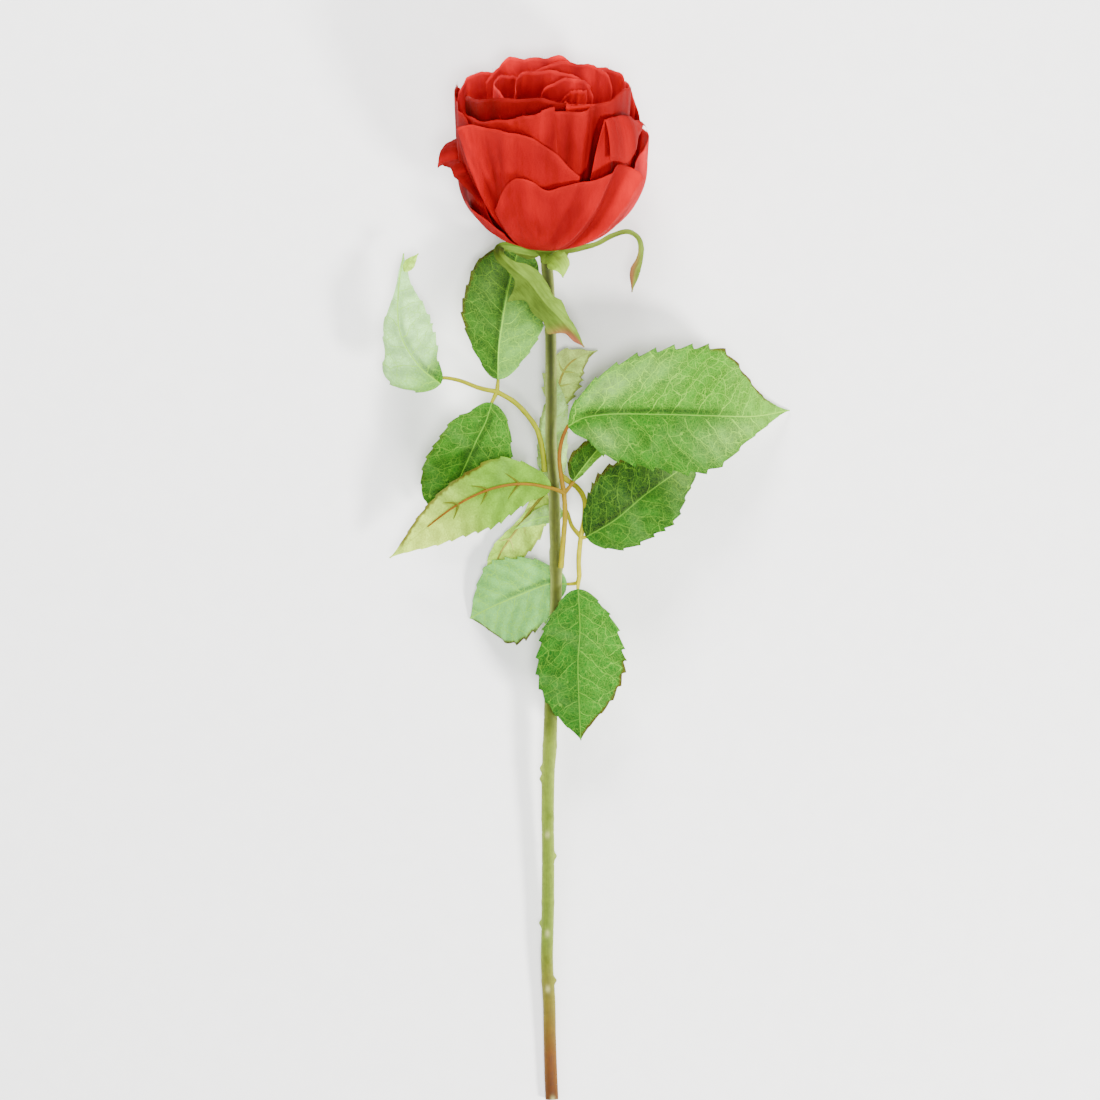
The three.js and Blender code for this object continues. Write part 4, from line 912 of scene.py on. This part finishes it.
# Sepals have the same keys as LEAVES.
SEPALS = {
    "sepal_drooping": dict(
        rib=[(-20, 163, 31), (-28, 165, 30), (-36, 166.8, 31), (-42, 167, 36),
             (-43.4, 164.5, 41.5), (-42.4, 161, 45.5), (-36.4, 154.7, 46.8),
             (-29.4, 148.8, 46.5), (-24, 141.8, 46), (-18.5, 135.3, 45), (-12.5, 129.4, 43.5),
             (-7.1, 123.4, 41), (-0.9, 116.2, 37)],
        left=[2.5, 3, 3, 3, 2.6, 2.2, 3.6, 6.6, 7.5, 7.2, 6, 7.2, 4.4, 3.4, 2],
        right=[2, 1.8, 1.6, 1.6, 2.6, 3, 2.6, 4.2, 14, 6.8, 8, 7, 9.5, 3.2, 2.4],
        slopes=(-0.12, 0.1), bow=0.012, teeth=12, tooth=0.03,
        tones=((152, 182, 84), (122, 148, 64)), blush=(0.8, 0.97, 0.9)),
    "sepal_front": dict(
        rib=[(-19, 162.5, 32), (-18, 161.3, 38), (-16, 159.6, 42.5), (-13, 156.2, 45),
             (-11.5, 150.5, 43.5)],
        left=[2, 2.5, 3.5, 5.8, 6.4, 5, 2.4], right=[2, 2.5, 3.5, 5, 5, 4, 1.5],
        slopes=(-0.1, 0.1), bow=0.02, teeth=5, tones=((188, 222, 102), (176, 212, 88)),
        crease_shade=(0.1, 0.1)),
    "sepal_looped": dict(
        rib=[(-16, 163.5, 31), (-4, 165.5, 33.5), (5.5, 168, 33.2), (13, 172, 33.2),
             (21, 174, 33.5), (26, 171, 33), (27.5, 166, 32), (26.5, 160, 31),
             (24, 154.5, 30), (23, 144, 28)],
        left=[1.6, 1.3, 1.3, 1.3, 1.3, 1.8, 3.2], right=[1.6, 1.3, 1.3, 1.3, 1.3, 1.6, 2],
        slopes=(0.1, 0.1), bow=0.01, teeth=7, tones=((154, 176, 88), (144, 166, 80)),
        blush=(0.66, 0.92, 0.8)),
    "sepal_left_below": dict(
        SEPAL_BELOW,
        rib=[(-23, 163, 28), (-30, 165.5, 24), (-36.5, 169.5, 18.5), (-42, 176, 11.5)]),
    "sepal_right_below": dict(
        SEPAL_BELOW, rib=[(-17, 163, 27), (-14, 163.5, 20), (-11, 167, 13), (-9, 174, 7)]),
}
RECEPTACLE_PROFILE = [(0.05, -9), (3.3, -9), (3.5, -8), (3.6, -6.5), (3.9, -5.5), (4.8, -4),
                      (6, -2.6), (7, -1.7), (7.6, -1), (7.4, -0.6), (7, -0.4), (0.05, -0.4)]


def lathe_parts(profile, sides, flutes):
    """A closed body turned round the bloom's axis, with shallow flutes."""
    profile = np.asarray(profile, float)
    turn = np.linspace(0, 2 * math.pi, sides, endpoint=False)
    radius = profile[:, :1] * (1 + flutes * np.cos(5 * turn)[None, :])
    rings = bloom_point(radius * np.cos(turn), radius * np.sin(turn), profile[:, 1:])
    points = rings.reshape(-1, 3)
    faces = ring_faces(len(profile), sides)
    faces.append(list(range(sides)))
    faces.append([(len(profile) - 1) * sides + k for k in range(sides)][::-1])
    places = np.stack(np.broadcast_arrays(profile[:, 1:], turn[None, :] * 5), axis=-1)
    return points, faces, places.reshape(-1, 2)


def make_calyx():
    make_solid("receptacle", lathe_parts(RECEPTACLE_PROFILE, 40, 0.05), STALK_PLASTIC,
               RECEPTACLE_GREEN, "calyx")
    for name, sepal in SEPALS.items():
        grid, uvs = leaf_grid(sepal)
        tint = leaf_tint(sepal, uvs["cloth"][..., 1])
        make_blade(name, grid, SEPAL_THICKNESS, uvs, (tint, tint * 0.9), (SEPAL,), "calyx")


make_calyx()


# ---------------------------------------------------------------- bloom

# A petal is a piece of a round-bottomed cup. az: where its middle faces, in degrees round the
# axis, 0 towards +Z and 90 to the right. half: half its angle. r and h: radius and height of
# its cup. rim: how high its edge stands, from its left to its right corner. spiral: how much
# wider its right corner stands. lean and taper: how its sides turn and draw in with height.
# waist: how much narrower its left and right sides are at the foot. out and drop: how far its
# edge rolls outwards and hangs down. ragged: how rough its edge is. shift: offset of its cup.
# red: how bright its cloth is painted, partly its dye and partly painted light and shade on the
# whole petal. light: painted light and shade from its left to its right. deep: how much painted
# shade darkens it towards the foot, and below 0 a painted light there. folds: [u at the foot, u at
# the edge, reach to the left, reach to the right, height] of its folds.
PETALS = {
    "front_heart": dict(
        az=18, half=56, r=46.4, h=52, spiral=0.8, out=1.5, red=0.9, waist=(0.2, 0.3), shade_below=-0.1,
        light=[0.95, 0.95, 0.8, 0.82, 1.0, 1.25, 1.35],
        rim=[0.6, 0.82, 0.94, 0.945, 0.85, 0.88, 0.915, 0.92, 0.96, 1, 0.97, 0.88, 0.72],
        folds=[(-0.45, 0.37, 0.3, 0.1, 3.5), (-0.12, 0.56, 0.1, 0.16, -2.2),
               (0.0, 0.9, 0.18, 0.3, 3.6), (-0.5, -0.55, 0.3, 0.3, 0.9)]),
    "right_outer": dict(
        az=100, half=36, r=49.6, h=55, spiral=5, out=1.2, red=1.6, waist=(0.1, 0.3), shade_below=0.1,
        rim=[0.74, 0.92, 1, 1, 0.97, 0.9, 0.7], folds=[(-0.5, -0.35, 0.3, 0.3, 1.2)]),
    "left_outer": dict(
        az=-106, half=54, r=43.6, h=51, spiral=-3, out=[2, 3, 5, 8, 10, 7, 2], drop=[2, 2],
        red=0.62, waist=(0.4, -0.15), ragged=6,
        rim=[0.66, 0.86, 0.95, 1, 0.98, 0.96, 0.97, 0.97, 0.85, 0.91, 0.83, 0.74, 0.6],
        folds=[(0.2, 0.36, 0.25, 0.15, 1.6), (0.45, 0.55, 0.15, 0.15, -1.2)]),
    "left_low": dict(
        az=-60, half=32, r=45.6, h=60, spiral=1.5, out=0.6, red=1.2, shade_below=0.1,
        rim=[0.28, 0.4, 0.46, 0.44, 0.4, 0.34, 0.27], folds=[(0.0, 0.1, 0.4, 0.3, 0.8)]),
    "table_outer": dict(
        az=180, half=44, r=47.6, h=58, out=2, red=0.95, rim=[0.7, 0.93, 1, 0.94, 1, 0.93, 0.7],
        folds=[(0.0, 0.1, 0.4, 0.3, 0.8)]),
    "left_front": dict(
        az=-28, half=50, r=44, h=73, out=2.6, red=1.06, waist=(0.85, 0.1), shade_below=0.3,
        light=[1.0, 1.2, 1.05, 0.76, 0.74, 0.8],
        rim=[0.87, 0.955, 0.985, 0.99, 0.98, 0.86, 0.69],
        folds=[(-0.5, -0.78, 0.15, 0.2, 2.4), (-0.2, -0.3, 0.25, 0.5, -1.6),
               (0.3, 0.4, 0.4, 0.3, 1.0)]),
    "right_front": dict(
        az=60, half=44, r=44, h=76, lean=4, taper=0.45, out=4.5, red=1.05,
        drop=[20, 22, 23, 15, 7, 2, 0], rim=[1, 1, 0.99, 0.96, 0.92, 0.87, 0.8],
        folds=[(-0.2, -0.1, 0.3, 0.3, 1.0)]),
    "left_side": dict(
        az=-92, half=32, r=44.6, h=78, spiral=-2.4, out=1, red=0.72, waist=(0.4, 0.3),
        rim=[0.84, 0.97, 1, 0.97, 0.96, 0.94, 0.88], folds=[(0.3, 0.5, 0.3, 0.2, 1.2)]),
    "table_right": dict(
        az=136, half=42, r=44.8, h=72, spiral=-1.2, out=2, red=0.95,
        rim=[0.8, 0.95, 1, 1, 0.97, 0.9, 0.74], folds=[(-0.2, 0.0, 0.3, 0.3, 1.0)]),
    "table_left": dict(
        az=-154, half=44, r=43.8, h=72, spiral=1.2, out=2, red=0.9,
        rim=[0.76, 0.92, 1, 0.95, 1, 0.93, 0.76], folds=[(0.2, 0.1, 0.3, 0.3, 1.0)]),
    "centre_left": dict(
        az=-32, half=42, r=40.6, h=85.5, lean=-5, out=2, red=0.78, waist=(0.3, 0.0),
        rim=[0.85, 0.85, 0.86, 0.885, 0.92, 0.955, 1], folds=[(0.1, 0.8, 0.3, 0.2, 2.0)]),
    "centre_right": dict(
        az=42, half=46, r=40.2, h=85.5, out=1.6, red=0.66, waist=(0.0, 0.3),
        rim=[0.97, 0.965, 0.965, 0.97, 1, 1, 0.96],
        folds=[(-0.6, -0.35, 0.2, 0.1, 2.4), (-0.3, -0.1, 0.1, 0.3, -1.4)]),
    "back_left": dict(
        az=-128, half=42, r=43, h=80, spiral=-1.4, out=2.5, red=1.8,
        rim=[0.84, 0.95, 0.98, 1, 0.98, 0.95, 0.87], folds=[(0.0, 0.2, 0.3, 0.2, 1.4)]),
    "back_right": dict(
        az=140, half=42, r=42, h=81, out=2.6, red=1.6,
        rim=[0.84, 0.97, 0.95, 1, 0.98, 0.94, 0.84], folds=[(-0.3, -0.4, 0.2, 0.3, 1.4)]),
    "cup_left": dict(
        az=-45, half=62, r=36.8, h=86.5, spiral=-4, out=0.8, red=0.4,
        rim=[0.86, 0.9, 0.94, 0.975, 1, 1, 0.98],
        folds=[(-0.2, -0.1, 0.2, 0.1, 1.0), (0.4, 0.5, 0.3, 0.3, -0.8)]),
    "cup_back": dict(
        az=-166, half=42, r=35.6, h=86.5, out=1.6, red=1.9,
        rim=[0.93, 0.99, 1, 0.99, 1, 0.97, 0.9],
        folds=[(-0.2, -0.3, 0.3, 0.3, -1.4), (0.3, 0.45, 0.3, 0.2, 1.4)]),
    "cup_right": dict(
        az=96, half=52, r=37, h=86, spiral=1, out=1.6, red=1.5,
        rim=[0.88, 0.94, 0.955, 0.945, 0.975, 0.97, 0.9], folds=[(0.2, 0.3, 0.3, 0.2, 1.4)]),
    "inner_left": dict(
        az=-100, half=58, r=29.5, h=84, shift=4, spiral=-1, red=1.7,
        rim=[0.9, 0.98, 1, 0.98, 0.92], folds=[(0.1, 0.2, 0.2, 0.2, 1.2)]),
    "inner_front": dict(
        az=15, half=62, r=31, h=82, shift=4, spiral=1, red=1.3,
        rim=[0.92, 0.98, 1, 0.98, 0.92], folds=[(-0.3, -0.2, 0.2, 0.2, 0.8)]),
    "inner_back": dict(
        az=150, half=58, r=30, h=86, shift=4, spiral=1, red=1.5,
        rim=[0.9, 0.98, 1, 0.99, 0.92], folds=[(0.0, 0.1, 0.3, 0.2, -1.2)]),
    "spiral_back": dict(
        az=-150, half=78, r=22, h=86, shift=8, spiral=1.5, red=1.5,
        rim=[0.9, 0.96, 0.98, 1, 0.95], folds=[(0.3, 0.4, 0.2, 0.2, 1.0)]),
    "spiral_front": dict(
        az=10, half=78, r=22.5, h=80, shift=8, spiral=1.5, red=1.3,
        rim=[0.92, 0.98, 1, 0.98, 0.94]),
    "swirl_back": dict(
        az=172, half=88, r=13.5, h=82, shift=11, spiral=1.2, red=1.5,
        rim=[0.9, 0.98, 1, 0.98, 0.9], folds=[(-0.2, -0.1, 0.2, 0.2, 0.8)]),
    "swirl_front": dict(
        az=-5, half=88, r=13.5, h=77, shift=11, spiral=1.2, red=1.3,
        rim=[0.93, 0.99, 1, 0.98, 0.93]),
    "heart_back": dict(
        az=160, half=95, r=6.4, h=78.5, shift=14, spiral=0.8, red=1.4,
        rim=[0.92, 1, 1, 0.98, 0.92]),
    "heart_front": dict(
        az=-20, half=95, r=6.4, h=75, shift=14, spiral=0.8, red=1.3,
        rim=[0.93, 1, 1, 0.98, 0.93]),
}

CUP_BELLY = 0.72
CUP_ROUND = 2.05
ROLL_FROM = 0.82
ROLL_HUMP = 0.8
FLANGE_FROM = 3
SPARE_FOLDS = 3
WAIST = (0.3, 0.3)
BASE_LIFT = 0.6
PETAL_ROWS = 64
PETAL_COLUMNS = 81
REST_HEIGHT, REST_EASE = 0.35, 2
PETAL_RED = srgb(190, 12, 32)
# The lighter red of the painted highlight along petal edges.
RIM_HIGHLIGHT_RED = srgb(230, 60, 50)
# How the petal folds are measured for painted shade in their valleys and painted highlights on
# their ridges.
FOLD_COLUMNS = 7
FOLD_HEART = 40
FOLD_DEPTH = 0.45
# How much painted shade darkens a petal towards its foot, unless the petal sets its own.
SHADE_BELOW = 0.25
THREADS, THREAD_SPAN = 10, (0.3, 0.7)
FRAYED_PETAL, FRAYED_THREADS, FRAYED_SPAN = "left_side", 60, (0.2, 0.45)
# A pale painted sheen added to the brightest inner petals.
PETAL_PAINTED_SHEEN = np.array((0.0, 0.03, 0.042))
CORE_PROFILE = [(0.05, -0.1), (6.5, -0.1), (9, 1.2), (14, 5), (13, 12), (11, 22), (8, 44),
                (4, 56), (0.05, 60)]


def cup_radius(height):
    """Radius of a cup, as a share of its widest, at a share of its height."""
    below = 1 - np.minimum(height / CUP_BELLY, 1)
    return np.maximum(1 - below ** CUP_ROUND, 0) ** (1 / CUP_ROUND)


def petal_grid(petal, s, u):
    """The middle surface of a petal: s from its foot to its edge, u from its left to its right."""
    across = (u + 1) / 2
    outs = np.atleast_1d(petal.get("out", 0))
    is_flanged = outs.max() > FLANGE_FROM
    out = along(outs, across) if len(outs) > 1 else outs[0]
    body = np.minimum(s / ROLL_FROM, 1) if is_flanged else s
    roll = np.maximum(0, (s - ROLL_FROM) / (1 - ROLL_FROM))
    ragged = petal.get("ragged", 1)
    uneven = 0.01 * ripples(across, 3.5) + ragged * 0.0026 * ripples(across, 13)
    uneven = uneven + ragged * 0.0012 * ripples(across, 30)
    height = (along(petal["rim"], across) + uneven) * body ** 1.6
    hang = along(petal.get("drop", [0, 0]), across)
    waist = np.where(u < 0, *petal.get("waist", WAIST))
    spread = (1 - petal.get("taper", 0) * height ** 2) * (1 - waist * (1 - height))
    lean = petal.get("lean", 0) * height ** 2
    turn = np.radians(petal["az"] + lean + petal["half"] * u * spread)
    flare = (1 - np.cos(math.pi * roll)) / 2 if is_flanged else smooth_step(0.7, 1.05, s)
    radius = petal["r"] * cup_radius(height) + out * flare
    radius = radius + petal.get("spiral", 0) * u * height ** 0.5
    radius = radius + 0.55 * ripples(across, 1.6) * height ** 2
    radius = radius + 0.5 * ripples(across + 0.2 * s, 4) * smooth_step(0.6, 1, s)
    spare = [(dice.uniform(-0.8, 0.8), dice.uniform(-0.9, 0.9), dice.uniform(0.15, 0.35),
              dice.uniform(0.15, 0.35), dice.uniform(-0.8, 0.8)) for _ in range(SPARE_FOLDS)]
    for low, high, left, right, proud in [*petal.get("folds", []), *spare]:
        middle = low + (high - low) * s
        side = np.where(u < middle, left, right)
        tent = np.maximum(0, 1.03 - np.sqrt(((u - middle) / side) ** 2 + 0.001))
        radius = radius + proud * tent * smooth_step(0.15, 0.55, s)
    hump = ROLL_HUMP * np.sin(math.pi * roll) if is_flanged else 0
    h = BASE_LIFT + petal["h"] * height + hump - hang * roll ** 2
    return bloom_point(radius * np.sin(turn) + petal.get("shift", 0) * height,
                       -radius * np.cos(turn), h)


def lifted(points):
    """Keeps the cloth above the surface that the bloom rests on."""
    above = (points[..., 2] - REST_HEIGHT) / REST_EASE
    eased = REST_EASE * np.where(above < 1, np.exp(np.minimum(above, 1) - 1), above)
    points[..., 2] = REST_HEIGHT + eased
    return points


def fold_shade(grid):
    """How far each place stands proud of its neighbours across the petal, from -1 to 1, for
    painted shade in fold valleys and painted highlights on fold ridges.
    """
    padded = np.pad(grid, ((0, 0), (FOLD_COLUMNS, FOLD_COLUMNS), (0, 0)), "edge")
    count = 2 * FOLD_COLUMNS + 1
    mean = sum(padded[:, k:k + grid.shape[1]] for k in range(count)) / count
    normal = grid_normal(grid)
    outward = grid - bloom_point(0, 0, FOLD_HEART)
    facing = np.sign(np.sum(normal * outward, axis=-1).mean())
    proud = np.sum((grid - mean) * normal, axis=-1) * facing
    return np.clip((proud - np.median(proud)) / FOLD_DEPTH, -1, 1)


def make_petal(name, petal):
    s = np.linspace(0.03, 1, PETAL_ROWS)[:, None]
    u = np.linspace(-1, 1, PETAL_COLUMNS)[None, :]
    s, u = np.broadcast_arrays(s, u)
    grid = lifted(petal_grid(petal, s, u))
    width = math.radians(petal["half"]) * petal["r"]
    cloth = np.stack([u * width + 200 * dice.uniform(), s * petal["h"] * 1.3], axis=-1)
    # The petal's brightness, partly its dye and partly painted light and shade, with painted shade
    # towards its foot.
    shade_below = petal.get("shade_below", SHADE_BELOW)
    shade = petal["red"] * (1 - shade_below + shade_below * smooth_step(0.3, 0.95, s))
    # Painted light and shade from the petal's left to its right.
    shade = shade * along(petal.get("light", [1, 1]), (u + 1) / 2)
    # A painted highlight along the petal's edge.
    rim_highlight = smooth_step(0.93, 1.0, np.maximum(s, np.abs(u) * 0.985))
    # Painted shade at the very foot, painted shade in the fold valleys and painted highlights on
    # their ridges.
    shade = shade * (0.45 + 0.55 * smooth_step(0.08, 0.3, s)) * (1 + 0.3 * fold_shade(grid))
    # The brightest inner petals get a pale painted sheen.
    tint = PETAL_RED * shade[..., None] + PETAL_PAINTED_SHEEN * np.clip(petal["red"] - 1.3, 0, 0.3)
    tint = tint + (RIM_HIGHLIGHT_RED - tint) * 0.12 * rim_highlight[..., None]
    make_blade("petal_" + name, grid, PETAL_THICKNESS, {"cloth": cloth},
               (tint * 0.92, tint), (PETAL,), "bloom")
    return grid


def fray_parts(grid, count, spans):
    """Loose threads of cloth that stand out from a petal's edge."""
    parts = []
    rim = np.concatenate([grid[::-1, 0], grid[-1], grid[:, -1]])
    inner = np.concatenate([grid[::-1, 2], grid[-3], grid[:, -3]])
    for _ in range(count):
        start, end = spans[random.randrange(len(spans))]
        k = int((start + (end - start) * random.random()) * (len(rim) - 1))
        outward = unit(rim[k] - inner[k])
        sideways = dice.normal(0, 0.45, 3)
        length = random.uniform(0.5, 1.5)
        spine = [rim[k] - outward * 0.3, rim[k] + outward * length * 0.5 + sideways * length * 0.2,
                 rim[k] + (outward + sideways) * length]
        parts.append(tube_parts(Path(spine, 40), lambda t: 0.09 * (1 - 0.7 * t), 5, 5))
    return parts


def make_bloom_solid(name, solid, tint):
    lifted(solid[0])
    make_solid(name, solid, PETAL, tint, "bloom")


def make_bloom():
    make_bloom_solid("bloom_core", lathe_parts(CORE_PROFILE, 48, 0.06), PETAL_RED * 0.7)
    threads = []
    for name, petal in PETALS.items():
        grid = make_petal(name, petal)
        threads.extend(fray_parts(grid, THREADS, [THREAD_SPAN]))
        if name == FRAYED_PETAL:
            threads.extend(fray_parts(grid, FRAYED_THREADS, [FRAYED_SPAN]))
    make_bloom_solid("petal_frayed_threads", join_parts(threads), PETAL_RED)


make_bloom()


# ---------------------------------------------------------------- the leaf tip that is folded over

FOLDED_TIP = dict(
    rib=[(-91, 154.5, 21.2), (-89, 158, 21.4), (-86.5, 161, 20.6), (-84, 163.8, 18.8)],
    left=[2.2, 2.6, 2, 0.9], right=[2.6, 3, 2.2, 1], slopes=(0.1, 0.1), bow=0.01, teeth=4,
    under=True, tones=((196, 236, 104), (206, 244, 116)))

make_leaf("leaf_a1_folded_tip", FOLDED_TIP, "leaf_a1")


# ---------------------------------------------------------------- floor, light and camera

# Lengths are in metres from here on.
FLOOR_REACH = 2.5
FLOOR_GRAIN = 90.0
FLOOR_TONES = (0.95, 0.95, 0.945, 1), (0.97, 0.97, 0.965, 1)
# Name, place, target, size, watts and colour of each light.
LIGHTS = [("key", (1.0, -0.7, 1.15), (0, 0.05, 0.03), 0.35, 56, (1.0, 0.98, 0.95)),
          ("fill", (-1.2, -0.5, 1.3), (0, 0.0, 0.03), 0.9, 12, (0.95, 0.98, 1.0)),
          ("mouth", (-0.15, 1.2, 0.75), (0, 0.2, 0.05), 0.6, 36, (1.0, 0.98, 0.97)),
          ("top", (0.1, -0.2, 2.3), (0, 0.05, 0.03), 0.6, 62, (1.0, 1.0, 1.0))]
WORLD_STRENGTH = 0.48
CAMERA_PLACE = (-0.018, 0.015, 3.03)
CAMERA_SENSOR = 36.0
CAMERA_REACH = 20
PHOTO_WIDTH = 0.55
PHOTO_DISTANCE = 3.0


def make_floor():
    shader = Shader("pale table")
    grain = shader.noise(shader("TexCoord", output="Object"), FLOOR_GRAIN, 3.0)
    colour = shader.mix(shader.step(grain, 0.35, 0.65), *FLOOR_TONES)
    body = shader("BsdfPrincipled", {"Base Color": colour, "Roughness": 0.9})
    shader("OutputMaterial", {"Surface": body})
    mesh = bpy.data.meshes.new("floor")
    near, far = -FLOOR_REACH, FLOOR_REACH
    corners = [(near, near, 0), (far, near, 0), (far, far, 0), (near, far, 0)]
    mesh.from_pydata(corners, [], [(0, 1, 2, 3)])
    mesh.materials.append(shader.material)
    floor = link("floor", mesh)


def add_light(name, place, target, size, watts, colour):
    light = bpy.data.lights.new(name, "AREA")
    light.shape = "DISK"
    light.size = size
    light.energy = watts
    light.color = colour
    lamp = link(name, light)
    lamp.location = place
    x, y, z = np.subtract(target, place)
    tilt = math.acos(-z / math.hypot(x, y, z))
    lamp.rotation_euler = (tilt, 0, math.atan2(y, x) - math.pi / 2)


make_floor()
for light in LIGHTS:
    add_light(*light)

world = bpy.data.worlds.new("studio")
world.use_nodes = True
background = world.node_tree.nodes["Background"].inputs
background["Color"].default_value = WHITE
background["Strength"].default_value = WORLD_STRENGTH
bpy.context.scene.world = world

lens = bpy.data.cameras.new("camera")
lens.sensor_width = CAMERA_SENSOR
lens.lens = CAMERA_SENSOR * PHOTO_DISTANCE / PHOTO_WIDTH
lens.clip_end = CAMERA_REACH
lens.dof.use_dof = False
camera = link("camera", lens)
camera.location = CAMERA_PLACE
camera.rotation_euler = (0, 0, 0)
bpy.context.scene.camera = camera
